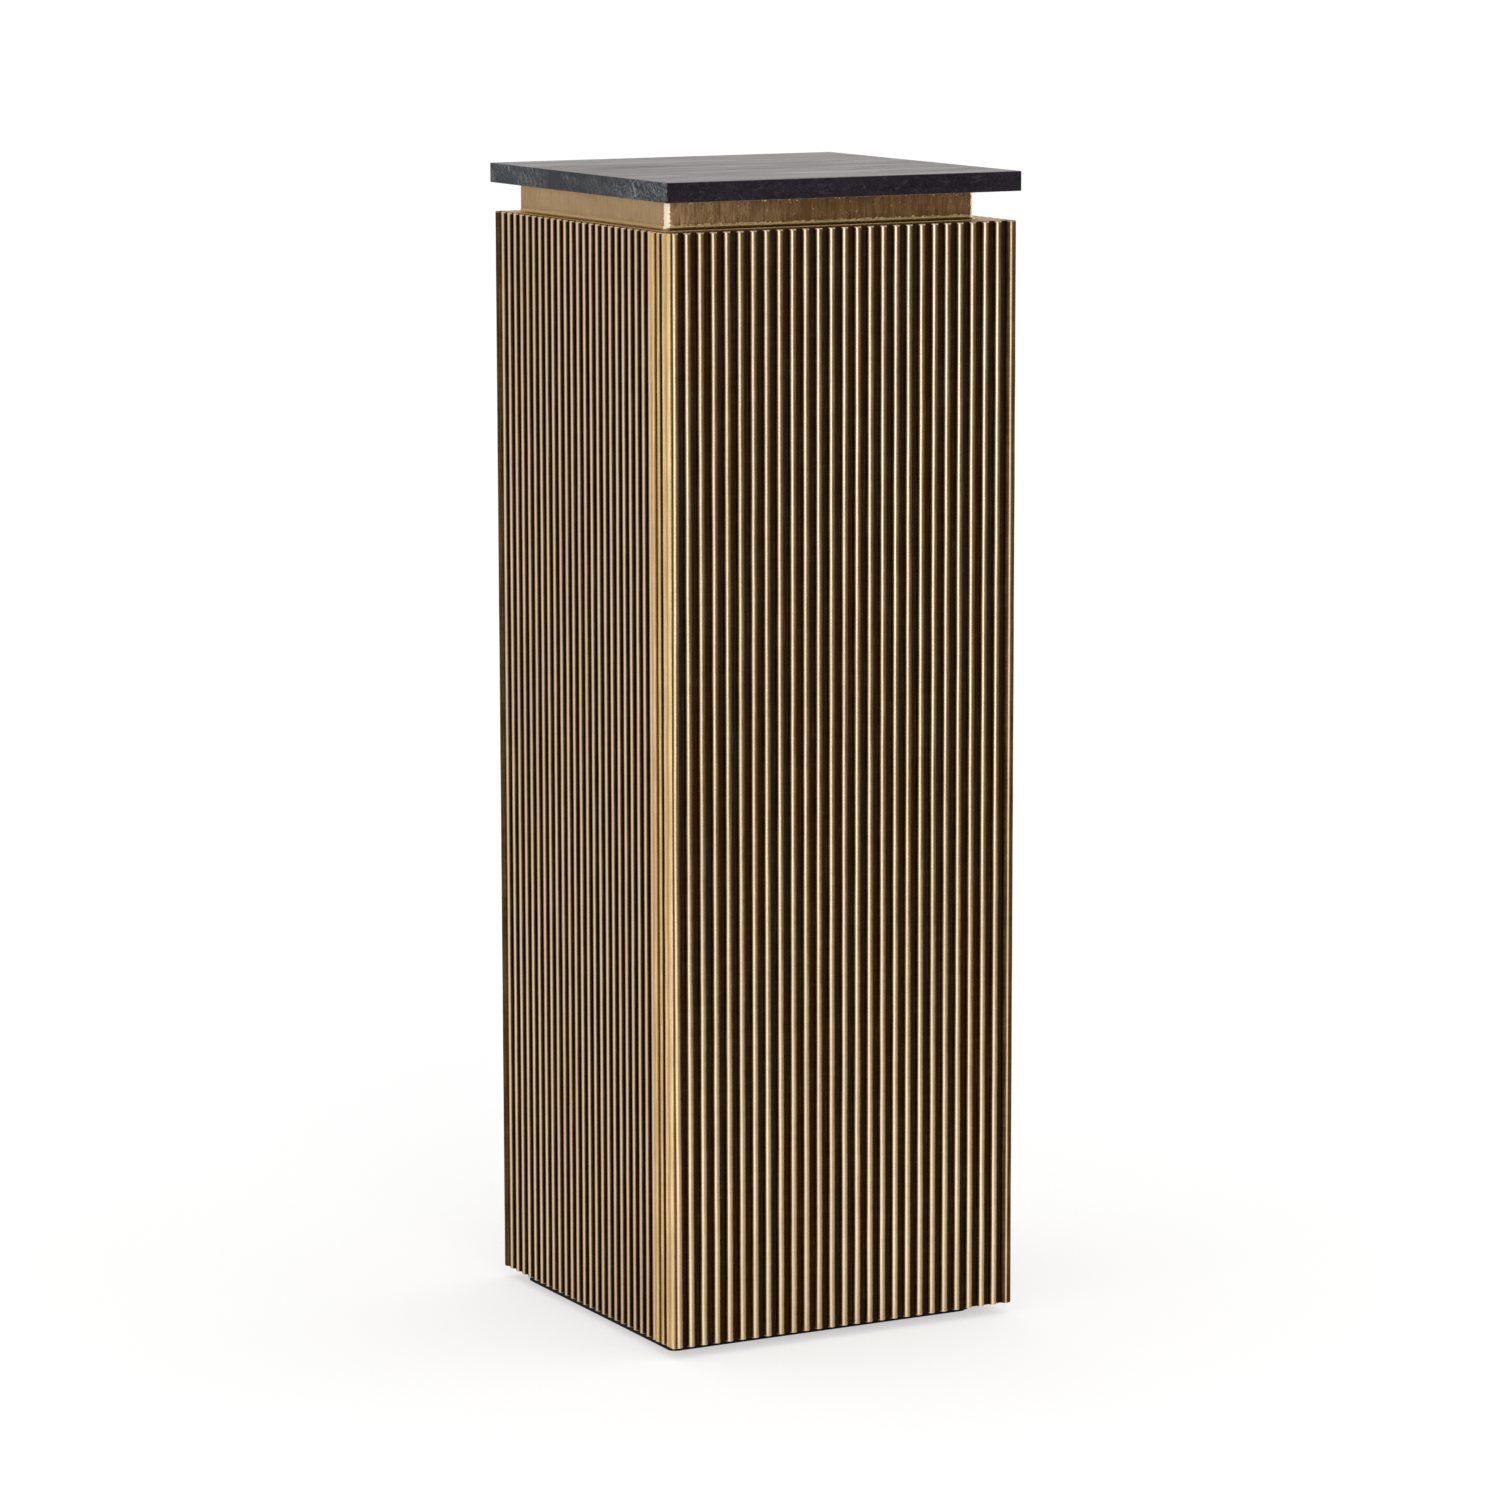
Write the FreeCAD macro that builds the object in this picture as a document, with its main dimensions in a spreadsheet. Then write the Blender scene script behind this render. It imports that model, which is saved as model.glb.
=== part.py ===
import FreeCAD, Part
import math
import os
import Sketcher
from FreeCAD import Vector

# Square display pedestal: a honed marble slab on a short coved neck, a column
# clad in half-round brass ribs, and a black plinth set in under it.
# Millimetres. The origin is on the floor under the middle of the column, +Z is
# up, the front face looks along -Y and the face with the cladding seam along -X.

doc = FreeCAD.newDocument("pedestal")
X_AXIS = Vector(1, 0, 0)
Y_AXIS = Vector(0, 1, 0)
Z_AXIS = Vector(0, 0, 1)

# ---------------------------------------------------------------- dimensions

SIZES = [
    ("total_height", 914.4, "floor to the top of the slab"),
    ("slab_thickness", 15.6, "marble slab"),
    ("slab_overhang", 1.75, "slab edge beyond the rib crowns"),
    ("slab_arris", 0.8, "bevel that takes the sharpness off the slab"),
    ("adhesive_thickness", 1.0, "silicone ribbons between neck block and slab"),
    ("adhesive_width", 14.0, "one ribbon, squeezed flat"),
    ("adhesive_inset", 22.0, "ribbons in from the edges of the neck block"),
    ("adhesive_count", 4, "ribbons side by side"),
    ("neck_height", 22.9, "ledge to the underside of the slab"),
    ("neck_wall", 4.0, "thickness of the neck mouldings"),
    ("neck_corner_radius", 6.5, "upright corners of the neck and the plinth"),
    ("cove_radius", 3.2, "hollow curve at the foot of the neck"),
    ("cove_lip", 0.6, "flat lip outside the cove, and its thickness"),
    ("inset_left", 10.3, "neck and plinth in from the rib crowns"),
    ("inset_right", 24.6, "neck and plinth in from the rib crowns"),
    ("inset_front", 24.4, "neck and plinth in from the rib crowns"),
    ("inset_back", 24.4, "neck and plinth in from the rib crowns"),
    ("ledge_thickness", 2.0, "brass plate round the foot of the neck"),
    ("rib_pitch", 11.35, "rib centre to rib centre, and one leg of a corner bead"),
    ("rib_count", 27, "ribs across one face, the two corner beads included"),
    ("rib_radius", 3.5, "half-round rib"),
    ("rib_end_bevel", 1.2, "bevel across the cut ends of the ribs"),
    ("sheet_thickness", 1.5, "brass sheet between the ribs"),
    ("corner_rib_step", 7.35, "extra rib of the seam corner, past its bead's leg"),
    ("corner_band_inset", 0.25, "smooth band of the seam corner, in from the crowns"),
    ("corner_band_shoulder", 2.5, "rounded far edge of that band"),
    ("flange_margin", 0.8, "bare sheet outside the last rib at the seam"),
    ("seam_gap", 0.8, "open joint between seam corner and left panel"),
    ("lap_rib_radius", 4.0, "proud rib along the seam"),
    ("lap_rib_step", 6.1, "proud rib to the first plain rib of the left panel"),
    ("far_margin", 0.15, "bare sheet outside the last rib of the left panel"),
    ("board_thickness", 15.0, "upright boards of the core"),
    ("top_board_thickness", 15.0, "board under the ledge"),
    ("bottom_board_thickness", 15.0, "board over the plinth"),
    ("middle_board_thickness", 12.0, "stiffener half way up"),
    ("batten_width", 20.0, "square batten in each corner of the core"),
    ("notch_clearance", 0.3, "stiffener clear of the battens"),
    ("plinth_height", 8.0, "black plinth board"),
    ("mat_thickness", 1.4, "anti-slip mat that stands on the floor"),
    ("mat_margin", 2.0, "mat in from the edge of the plinth"),
    ("nail_length", 32.0, "finish nails of the core and the neck"),
    ("plinth_nail_length", 20.0, "finish nails of the plinth"),
    ("nail_width", 1.6, "flat wire of a finish nail"),
    ("nail_thickness", 1.4, "flat wire of a finish nail"),
    ("nail_point", 2.0, "length of the chisel point"),
    ("nail_clearance", 0.05, "wall of the hole clear of the nail"),
    ("nail_rows", 3, "nails up each edge of an upright board"),
    ("nail_end_margin", 70.0, "first nail from the end of a board"),
    ("nail_stagger", 20.0, "side nails higher than front and back nails"),
    ("block_nail_inset", 40.0, "neck and plinth nails in from the edges"),
]

sheet = doc.addObject("Spreadsheet::Sheet", "sizes")
for row, (alias, number, meaning) in enumerate(SIZES, start=1):
    sheet.set(f"A{row}", str(number))
    sheet.setAlias(f"A{row}", alias)
    sheet.set(f"B{row}", meaning)
doc.recompute()


def cell(alias):
    """The expression that reads one size."""
    return f"sizes.{alias}"


def value(expression):
    """The number that an expression of sizes gives now."""
    return float(sheet.evalExpression(expression))


# Sizes that follow from the driving ones, as expressions.
BODY_WIDTH = "(sizes.rib_pitch * sizes.rib_count)"
HALF_WIDTH = f"({BODY_WIDTH} / 2)"
CLADDING_DEPTH = "(sizes.sheet_thickness + sizes.rib_radius)"
CORE_WIDTH = f"({BODY_WIDTH} - 2 * {CLADDING_DEPTH})"
CORE_HALF = f"({CORE_WIDTH} / 2)"
INNER_WIDTH = f"({CORE_WIDTH} - 2 * sizes.board_thickness)"
INNER_HALF = f"({INNER_WIDTH} / 2)"

BODY_BOTTOM = "(sizes.mat_thickness + sizes.plinth_height)"
SLAB_BOTTOM = "(sizes.total_height - sizes.slab_thickness)"
BODY_TOP = f"({SLAB_BOTTOM} - sizes.neck_height)"
BODY_HEIGHT = f"({BODY_TOP} - {BODY_BOTTOM})"
LEDGE_BOTTOM = f"({BODY_TOP} - sizes.ledge_thickness)"
BOARDS_TOP = f"({LEDGE_BOTTOM} - sizes.top_board_thickness)"
BOARDS_BOTTOM = f"({BODY_BOTTOM} + sizes.bottom_board_thickness)"
BOARDS_HEIGHT = f"({BOARDS_TOP} - {BOARDS_BOTTOM})"

NECK_LEFT = f"(sizes.inset_left - {HALF_WIDTH})"
NECK_FRONT = f"(sizes.inset_front - {HALF_WIDTH})"
NECK_WIDTH = f"({BODY_WIDTH} - sizes.inset_left - sizes.inset_right)"
NECK_DEPTH = f"({BODY_WIDTH} - sizes.inset_front - sizes.inset_back)"
BLOCK_LEFT = f"({NECK_LEFT} + sizes.neck_wall)"
BLOCK_FRONT = f"({NECK_FRONT} + sizes.neck_wall)"
BLOCK_WIDTH = f"({NECK_WIDTH} - 2 * sizes.neck_wall)"
BLOCK_DEPTH = f"({NECK_DEPTH} - 2 * sizes.neck_wall)"
BLOCK_HEIGHT = "(sizes.neck_height - sizes.adhesive_thickness)"
COVE_FOOT = "(sizes.cove_radius + sizes.cove_lip)"

# Places along the left face, from the front corner of the column backwards.
CORNER_RIB_PLACE = "(sizes.rib_pitch + sizes.corner_rib_step)"
CORNER_BAND_END = f"({CORNER_RIB_PLACE} - sizes.rib_radius - sizes.flange_margin)"
SEAM_PLACE = f"({CORNER_RIB_PLACE} + sizes.rib_radius + sizes.flange_margin)"
LEFT_PANEL_START = f"({SEAM_PLACE} + sizes.seam_gap)"
LAP_RIB_PLACE = f"({LEFT_PANEL_START} + sizes.flange_margin + sizes.rib_radius)"
FIRST_RIB_PLACE = f"({LAP_RIB_PLACE} + sizes.lap_rib_step)"
LEFT_PANEL_END = f"({BODY_WIDTH} - sizes.rib_pitch)"
LEFT_PANEL_WIDTH = f"({LEFT_PANEL_END} - {LEFT_PANEL_START})"
LAST_RIB_INSET = "(sizes.rib_radius + sizes.far_margin)"

# ---------------------------------------------------------- shared operations


def new_body(label):
    """An empty body whose label names its piece."""
    body = doc.addObject("PartDesign::Body", label)
    body.Label = label
    return body


def place(item, left, front, bottom, turn=0):
    """Put an object's own origin at a place given as expressions, turned about +Z."""
    item.Placement = FreeCAD.Placement(Vector(), FreeCAD.Rotation(Z_AXIS, turn))
    item.setExpression("Placement.Base.x", left)
    item.setExpression("Placement.Base.y", front)
    item.setExpression("Placement.Base.z", bottom)


def sketch_on(body, role, name):
    """A sketch on one of the body's own origin planes."""
    sketch = body.newObject("Sketcher::SketchObject", name)
    planes = [plane for plane in body.Origin.OriginFeatures if plane.Role == role]
    sketch.AttachmentSupport = (planes[0], [""])
    sketch.MapMode = "FlatFace"
    return sketch


def drive(sketch, name, kind, expression, *references):
    """Add a dimension that follows an expression."""
    index = sketch.addConstraint(Sketcher.Constraint(kind, *references, value(expression)))
    sketch.renameConstraint(index, name)
    sketch.setExpression(f"Constraints.{name}", expression)


def draw_rectangle(sketch, width, height, left="0", low="0"):
    """A rectangle with its low left corner at a place and its sides along the axes."""
    corners = [
        (value(left), value(low)),
        (value(left) + value(width), value(low)),
        (value(left) + value(width), value(low) + value(height)),
        (value(left), value(low) + value(height)),
    ]
    for index in range(4):
        start = Vector(*corners[index], 0)
        end = Vector(*corners[(index + 1) % 4], 0)
        sketch.addGeometry(Part.LineSegment(start, end), False)
    for index in range(4):
        sketch.addConstraint(Sketcher.Constraint("Coincident", index, 2, (index + 1) % 4, 1))
    for index in (0, 2):
        sketch.addConstraint(Sketcher.Constraint("Horizontal", index))
    for index in (1, 3):
        sketch.addConstraint(Sketcher.Constraint("Vertical", index))
    drive(sketch, "width", "DistanceX", width, 0, 1, 0, 2)
    drive(sketch, "height", "DistanceY", height, 1, 1, 1, 2)
    drive(sketch, "left", "DistanceX", left, -1, 1, 0, 1)
    drive(sketch, "low", "DistanceY", low, -1, 1, 0, 1)


def draw_half_round(sketch, centre, radius):
    """A half disc below the sketch's X axis, its centre on that axis."""
    middle = value(centre)
    reach = value(radius)
    circle = Part.Circle(Vector(middle, 0, 0), Z_AXIS, reach)
    sketch.addGeometry(Part.ArcOfCircle(circle, math.pi, 2 * math.pi), False)
    chord = Part.LineSegment(Vector(middle + reach, 0, 0), Vector(middle - reach, 0, 0))
    sketch.addGeometry(chord, False)
    sketch.addConstraint(Sketcher.Constraint("Coincident", 0, 2, 1, 1))
    sketch.addConstraint(Sketcher.Constraint("Coincident", 1, 2, 0, 1))
    sketch.addConstraint(Sketcher.Constraint("PointOnObject", 0, 3, -1))
    sketch.addConstraint(Sketcher.Constraint("PointOnObject", 1, 1, -1))
    sketch.addConstraint(Sketcher.Constraint("PointOnObject", 1, 2, -1))
    drive(sketch, "radius", "Radius", radius, 0)
    drive(sketch, "centre", "DistanceX", centre, -1, 1, 0, 3)


def pad(body, sketch, name, length):
    """Extrude a sketch along its normal by an expression."""
    feature = body.newObject("PartDesign::Pad", name)
    feature.Profile = sketch
    feature.setExpression("Length", length)
    doc.recompute()
    return feature


def pocket(body, sketch, name, reverse):
    """Cut a sketch right through, on the side of its plane that holds the solid."""
    before = body.Shape.Volume
    feature = body.newObject("PartDesign::Pocket", name)
    feature.Profile = sketch
    feature.Type = "ThroughAll"
    feature.Reversed = reverse
    doc.recompute()
    if not body.Shape.Volume < before:
        raise RuntimeError(f"{name} cuts nothing from {body.Label}")
    return feature


def edge_names(shape, wanted):
    """Names of the edges that pass a test."""
    return [f"Edge{index}" for index, edge in enumerate(shape.Edges, start=1) if wanted(edge)]


def dress(body, kind, name, base, wanted, radius):
    """Fillet or chamfer the edges of the base feature that pass a test."""
    feature = body.newObject(f"PartDesign::{kind}", name)
    feature.Base = (base, edge_names(base.Shape, wanted))
    feature.setExpression("Radius" if kind == "Fillet" else "Size", radius)
    doc.recompute()
    return feature


def is_upright(edge):
    """True for a straight edge along Z."""
    line = edge.Vertexes[-1].Point - edge.Vertexes[0].Point
    return abs(line.z) > 0.999 * edge.Length


def board(label, width, depth, height, left, front, bottom):
    """A rectangular board or block as one padded sketch."""
    body = new_body(label)
    outline = sketch_on(body, "XY_Plane", f"{label}_outline")
    draw_rectangle(outline, width, depth)
    pad(body, outline, f"{label}_pad", height)
    place(body, left, front, bottom)
    return body


# -------------------------------------------------------- slab and neck block


def make_slab():
    """Marble slab with a fine bevel round its top and bottom faces."""
    width = f"({BODY_WIDTH} + 2 * sizes.slab_overhang)"
    start = f"(-{HALF_WIDTH} - sizes.slab_overhang)"
    slab = board("top_slab", width, width, cell("slab_thickness"), start, start, SLAB_BOTTOM)
    base = slab.Tip
    dress(slab, "Chamfer", "slab_bevel", base, lambda edge: not is_upright(edge), cell("slab_arris"))
    return slab


def make_adhesive():
    """Flat ribbons side by side that bed the slab on the neck block."""
    width = value(cell("adhesive_width"))
    inset = value(cell("adhesive_inset"))
    count = int(value(cell("adhesive_count")))
    length = value(BLOCK_WIDTH) - 2 * inset
    step = (value(BLOCK_DEPTH) - 2 * inset - width) / max(1, count - 1)
    ribbon = Part.makeBox(length, width, value(cell("adhesive_thickness")))
    places = [Vector(inset, inset + index * step, 0) for index in range(count)]
    ribbons = doc.addObject("Part::Feature", "slab_adhesive")
    ribbons.Label = "slab_adhesive"
    ribbons.Shape = Part.makeCompound([ribbon.translated(point) for point in places])
    place(ribbons, BLOCK_LEFT, BLOCK_FRONT, f"({SLAB_BOTTOM} - sizes.adhesive_thickness)")
    return ribbons


# ------------------------------------------------------------------- the neck


def make_neck_ring():
    """The neck's whole moulding: rounded corners, and a cove round its foot."""
    ring = new_body("neck_ring")
    foot = sketch_on(ring, "XY_Plane", "neck_foot_outline")
    foot_width = f"({NECK_WIDTH} + 2 * {COVE_FOOT})"
    foot_depth = f"({NECK_DEPTH} + 2 * {COVE_FOOT})"
    draw_rectangle(foot, foot_width, foot_depth, f"-{COVE_FOOT}", f"-{COVE_FOOT}")
    base = pad(ring, foot, "neck_foot_pad", cell("cove_lip"))
    foot_radius = f"(sizes.neck_corner_radius + {COVE_FOOT})"
    dress(ring, "Fillet", "neck_foot_corners", base, is_upright, foot_radius)

    wall = sketch_on(ring, "XY_Plane", "neck_wall_outline")
    draw_rectangle(wall, NECK_WIDTH, NECK_DEPTH)
    base = pad(ring, wall, "neck_wall_pad", cell("neck_height"))
    tall = 0.5 * value(cell("neck_height"))
    dress(ring, "Fillet", "neck_corners", base,
          lambda edge: is_upright(edge) and edge.Length > tall, cell("neck_corner_radius"))

    base = ring.Tip
    lip = value(cell("cove_lip"))
    width = value(NECK_WIDTH)
    depth = value(NECK_DEPTH)

    def in_the_angle(edge):
        box = edge.BoundBox
        level = abs(box.ZMin - lip) < 0.01 and abs(box.ZMax - lip) < 0.01
        inside = box.XMin > -0.01 and box.XMax < width + 0.01
        return level and inside and box.YMin > -0.01 and box.YMax < depth + 0.01

    dress(ring, "Fillet", "neck_cove", base, in_the_angle, cell("cove_radius"))
    hollow = sketch_on(ring, "XY_Plane", "neck_hollow_outline")
    draw_rectangle(hollow, BLOCK_WIDTH, BLOCK_DEPTH, cell("neck_wall"), cell("neck_wall"))
    pocket(ring, hollow, "neck_hollow", True)
    place(ring, NECK_LEFT, NECK_FRONT, BODY_TOP)
    return ring


def make_mitre_wedge(side, length, left, front, turn):
    """A prism on a right isosceles triangle, which holds one side of the neck."""
    wedge = doc.addObject("Part::Wedge", f"mitre_{side}")
    reach = f"(2 * {COVE_FOOT})"
    sizes = {
        "Xmin": f"-{reach}",
        "Xmax": f"{length} + {reach}",
        "X2min": f"{length} / 2",
        "X2max": f"{length} / 2",
        "Ymin": f"-{reach}",
        "Ymax": f"{length} / 2",
        "Zmin": "0",
        "Zmax": cell("neck_height"),
        "Z2min": "0",
        "Z2max": cell("neck_height"),
    }
    for name, expression in sizes.items():
        wedge.setExpression(name, expression)
    place(wedge, left, front, BODY_TOP, turn)
    return wedge


def make_neck_sides():
    """Four mouldings with mitred ends, cut from the one ring."""
    ring = make_neck_ring()
    right = f"({NECK_LEFT} + {NECK_WIDTH})"
    back = f"({NECK_FRONT} + {NECK_DEPTH})"
    sides = [
        ("front", NECK_WIDTH, NECK_LEFT, NECK_FRONT, 0),
        ("right", NECK_DEPTH, right, NECK_FRONT, 90),
        ("back", NECK_WIDTH, right, back, 180),
        ("left", NECK_DEPTH, NECK_LEFT, back, 270),
    ]
    mouldings = []
    for side, length, left, front, turn in sides:
        moulding = doc.addObject("Part::Common", f"neck_{side}")
        moulding.Label = f"neck_{side}"
        moulding.Base = ring
        moulding.Tool = make_mitre_wedge(side, length, left, front, turn)
        mouldings.append(moulding)
    return mouldings


# --------------------------------------------------------------- the cladding


def add_rib(body, name, centre, radius):
    """One half-round rib up the whole height of a panel."""
    section = sketch_on(body, "XY_Plane", f"{name}_section")
    draw_half_round(section, centre, radius)
    return pad(body, section, name, BODY_HEIGHT)


def repeat_rib(body, rib, name, count, spacing):
    """Repeat a rib along the panel."""
    pattern = body.newObject("PartDesign::LinearPattern", name)
    pattern.Originals = [rib]
    pattern.Direction = (rib.Profile[0], ["H_Axis"])
    pattern.setExpression("Length", f"({count} - 1) * {spacing}")
    pattern.setExpression("Occurrences", count)
    body.Tip = pattern
    doc.recompute()
    return pattern


def bevel_top(body, name, role, reverse, crown):
    """Cut a 45 degree bevel across everything that stands out at the top end.

    The cutter is a right triangle whose outer side lies clear of the crowns;
    crown is the distance from the body's origin out to the crowns' plane.
    """
    section = sketch_on(body, role, name + "_section")
    reach = f"({crown} + sizes.rib_radius)"
    leg = "(sizes.rib_end_bevel + sizes.rib_radius)"
    outer = -value(reach)
    top = value(BODY_HEIGHT)
    points = [
        Vector(outer, top, 0),
        Vector(outer, top - value(leg), 0),
        Vector(outer + value(leg), top, 0),
    ]
    for index in range(3):
        section.addGeometry(Part.LineSegment(points[index], points[(index + 1) % 3]), False)
    for index in range(3):
        section.addConstraint(Sketcher.Constraint("Coincident", index, 2, (index + 1) % 3, 1))
    section.addConstraint(Sketcher.Constraint("Vertical", 0))
    section.addConstraint(Sketcher.Constraint("Horizontal", 2))
    drive(section, "drop", "DistanceY", leg, 0, 2, 0, 1)
    drive(section, "depth", "DistanceX", leg, 2, 2, 2, 1)
    drive(section, "reach", "DistanceX", reach, 0, 1, -1, 1)
    drive(section, "top", "DistanceY", BODY_HEIGHT, -1, 1, 0, 1)
    return pocket(body, section, name, reverse)


def make_panel(label, width, left, front, turn, first, count, spacing, lap_place=None):
    """Brass sheet with a row of half-round ribs on its outer face."""
    body = new_body(label)
    outline = sketch_on(body, "XY_Plane", f"{label}_sheet_outline")
    draw_rectangle(outline, width, cell("sheet_thickness"))
    pad(body, outline, f"{label}_sheet", BODY_HEIGHT)
    rib = add_rib(body, f"{label}_rib", first, cell("rib_radius"))
    repeat_rib(body, rib, f"{label}_ribs", count, spacing)
    if lap_place:
        add_rib(body, f"{label}_lap_rib", lap_place, cell("lap_rib_radius"))
    bevel_top(body, f"{label}_rib_ends", "YZ_Plane", True, cell("rib_radius"))
    place(body, left, front, BODY_BOTTOM, turn)
    return body


def make_plain_panels():
    """Front, right and back panels, whose ribs continue the pitch of the corners."""
    width = f"({BODY_WIDTH} - 2 * sizes.rib_pitch)"
    start = f"({HALF_WIDTH} - sizes.rib_pitch)"
    face = f"({HALF_WIDTH} - sizes.rib_radius)"
    sides = [
        ("front_panel", f"-{start}", f"-{face}", 0),
        ("right_panel", face, f"-{start}", 90),
        ("back_panel", start, face, 180),
    ]
    first = "(sizes.rib_pitch / 2)"
    count = "(sizes.rib_count - 2)"
    return [
        make_panel(label, width, left, front, turn, first, count, cell("rib_pitch"))
        for label, left, front, turn in sides
    ]


def make_left_panel():
    """Left panel: it ends at the seam in a proud rib that closes the lap."""
    face = f"({HALF_WIDTH} - sizes.rib_radius)"
    start = f"({HALF_WIDTH} - sizes.rib_pitch)"
    count = "(sizes.rib_count - 3)"
    run = f"({LEFT_PANEL_END} - {FIRST_RIB_PLACE} - {LAST_RIB_INSET})"
    spacing = f"({run} / (sizes.rib_count - 4))"
    lap_place = f"({LEFT_PANEL_END} - {LAP_RIB_PLACE})"
    return make_panel("left_panel", LEFT_PANEL_WIDTH, f"-{face}", start, 270,
                      LAST_RIB_INSET, count, spacing, lap_place)


def make_corner_bead(label, left, front, turn, second_leg, at_seam=False):
    """Three-quarter-round bead on an angle of sheet, its ideal corner at the origin."""
    body = new_body(label)
    surface = cell("rib_radius")
    sheet_depth = cell("sheet_thickness")
    legs = [
        ("x_leg", f"(sizes.rib_pitch - {surface})", sheet_depth, surface, surface),
        ("y_leg", sheet_depth, f"({second_leg} - {surface})", surface, surface),
    ]
    for name, width, depth, start, low in legs:
        outline = sketch_on(body, "XY_Plane", f"{label}_{name}_outline")
        draw_rectangle(outline, width, depth, start, low)
        pad(body, outline, f"{label}_{name}", BODY_HEIGHT)

    section = sketch_on(body, "XY_Plane", f"{label}_bead_section")
    middle = value(CLADDING_DEPTH)
    circle = Part.Circle(Vector(middle, middle, 0), Z_AXIS, middle)
    section.addGeometry(circle, False)
    drive(section, "radius", "Radius", CLADDING_DEPTH, 0)
    drive(section, "across", "DistanceX", CLADDING_DEPTH, -1, 1, 0, 3)
    drive(section, "along", "DistanceY", CLADDING_DEPTH, -1, 1, 0, 3)
    pad(body, section, f"{label}_bead", BODY_HEIGHT)

    core = sketch_on(body, "XY_Plane", f"{label}_core_outline")
    draw_rectangle(core, second_leg, second_leg, CLADDING_DEPTH, CLADDING_DEPTH)
    pocket(body, core, f"{label}_core_corner", True)
    if at_seam:
        add_corner_band(body)
        add_corner_rib(body)
    bevel_top(body, f"{label}_x_leg_end", "YZ_Plane", True, "0")
    bevel_top(body, f"{label}_y_leg_end", "XZ_Plane", False, "0")
    place(body, left, front, BODY_BOTTOM, turn)
    return body


def add_corner_band(body):
    """The smooth band that widens the seam corner's bead along its second leg."""
    inset = cell("corner_band_inset")
    outline = sketch_on(body, "XY_Plane", "seam_corner_band_outline")
    depth = f"(sizes.rib_radius - {inset})"
    run = f"({CORNER_BAND_END} - {CLADDING_DEPTH})"
    draw_rectangle(outline, depth, run, inset, CLADDING_DEPTH)
    base = pad(body, outline, "seam_corner_band", BODY_HEIGHT)
    outer = value(inset)
    end = value(CORNER_BAND_END)

    def at_the_shoulder(edge):
        point = edge.Vertexes[0].Point
        on_edge = abs(point.x - outer) < 0.01 and abs(point.y - end) < 0.01
        return is_upright(edge) and on_edge

    return dress(body, "Fillet", "seam_corner_band_shoulder", base, at_the_shoulder,
                 cell("corner_band_shoulder"))


def add_corner_rib(body):
    """The extra rib between the seam corner's bead and the seam."""
    section = sketch_on(body, "XY_Plane", "seam_corner_rib_section")
    along = value(CORNER_RIB_PLACE)
    surface = value(cell("rib_radius"))
    circle = Part.Circle(Vector(surface, along, 0), Z_AXIS, surface)
    section.addGeometry(Part.ArcOfCircle(circle, 0.5 * math.pi, 1.5 * math.pi), False)
    low = Vector(surface, along - surface, 0)
    high = Vector(surface, along + surface, 0)
    section.addGeometry(Part.LineSegment(low, high), False)
    section.addConstraint(Sketcher.Constraint("Coincident", 0, 2, 1, 1))
    section.addConstraint(Sketcher.Constraint("Coincident", 1, 2, 0, 1))
    section.addConstraint(Sketcher.Constraint("Vertical", 1))
    section.addConstraint(Sketcher.Constraint("PointOnObject", 0, 3, 1))
    drive(section, "radius", "Radius", cell("rib_radius"), 0)
    drive(section, "across", "DistanceX", cell("rib_radius"), -1, 1, 0, 3)
    drive(section, "along", "DistanceY", CORNER_RIB_PLACE, -1, 1, 0, 3)
    return pad(body, section, "seam_corner_rib", BODY_HEIGHT)


def make_corner_beads():
    """The four corners; the front left one reaches to the seam."""
    low = f"-{HALF_WIDTH}"
    high = HALF_WIDTH
    leg = cell("rib_pitch")
    return [
        make_corner_bead("corner_bead_front_left", low, low, 0, SEAM_PLACE, True),
        make_corner_bead("corner_bead_front_right", high, low, 90, leg),
        make_corner_bead("corner_bead_back_right", high, high, 180, leg),
        make_corner_bead("corner_bead_back_left", low, high, 270, leg),
    ]


# ------------------------------------------------------------------ the nails


def nail_shape(length, grow=0.0, overrun=0.0):
    """A flat-wire nail along +Z with its head at z = 0 and a chisel point, or its hole."""
    half = value(cell("nail_width")) / 2 + grow
    thickness = value(cell("nail_thickness")) + 2 * grow
    shoulder = length - value(cell("nail_point"))
    back = -thickness / 2
    profile = [
        Vector(-half, back, -overrun),
        Vector(half, back, -overrun),
        Vector(half, back, shoulder),
        Vector(0, back, length + grow),
        Vector(-half, back, shoulder),
    ]
    outline = Part.makePolygon(profile + [profile[0]])
    return Part.Face(outline).extrude(Vector(0, thickness, 0))


def nail_group(label, length, places):
    """Nails as one group of solids, and the cutter that makes all their holes."""
    hole_overrun = 1.0
    nail = nail_shape(length)
    hole = nail_shape(length, value(cell("nail_clearance")), hole_overrun)
    turns = [FreeCAD.Rotation(Z_AXIS, direction) for _, direction in places]
    spots = [FreeCAD.Placement(point, turn) for (point, _), turn in zip(places, turns)]
    nails = doc.addObject("Part::Feature", label)
    nails.Label = label
    nails.Shape = Part.makeCompound([nail.transformed(spot.toMatrix()) for spot in spots])
    holes = doc.addObject("Part::Feature", f"{label}_holes")
    holes.Shape = Part.makeCompound([hole.transformed(spot.toMatrix()) for spot in spots])
    return nails, holes


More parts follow.
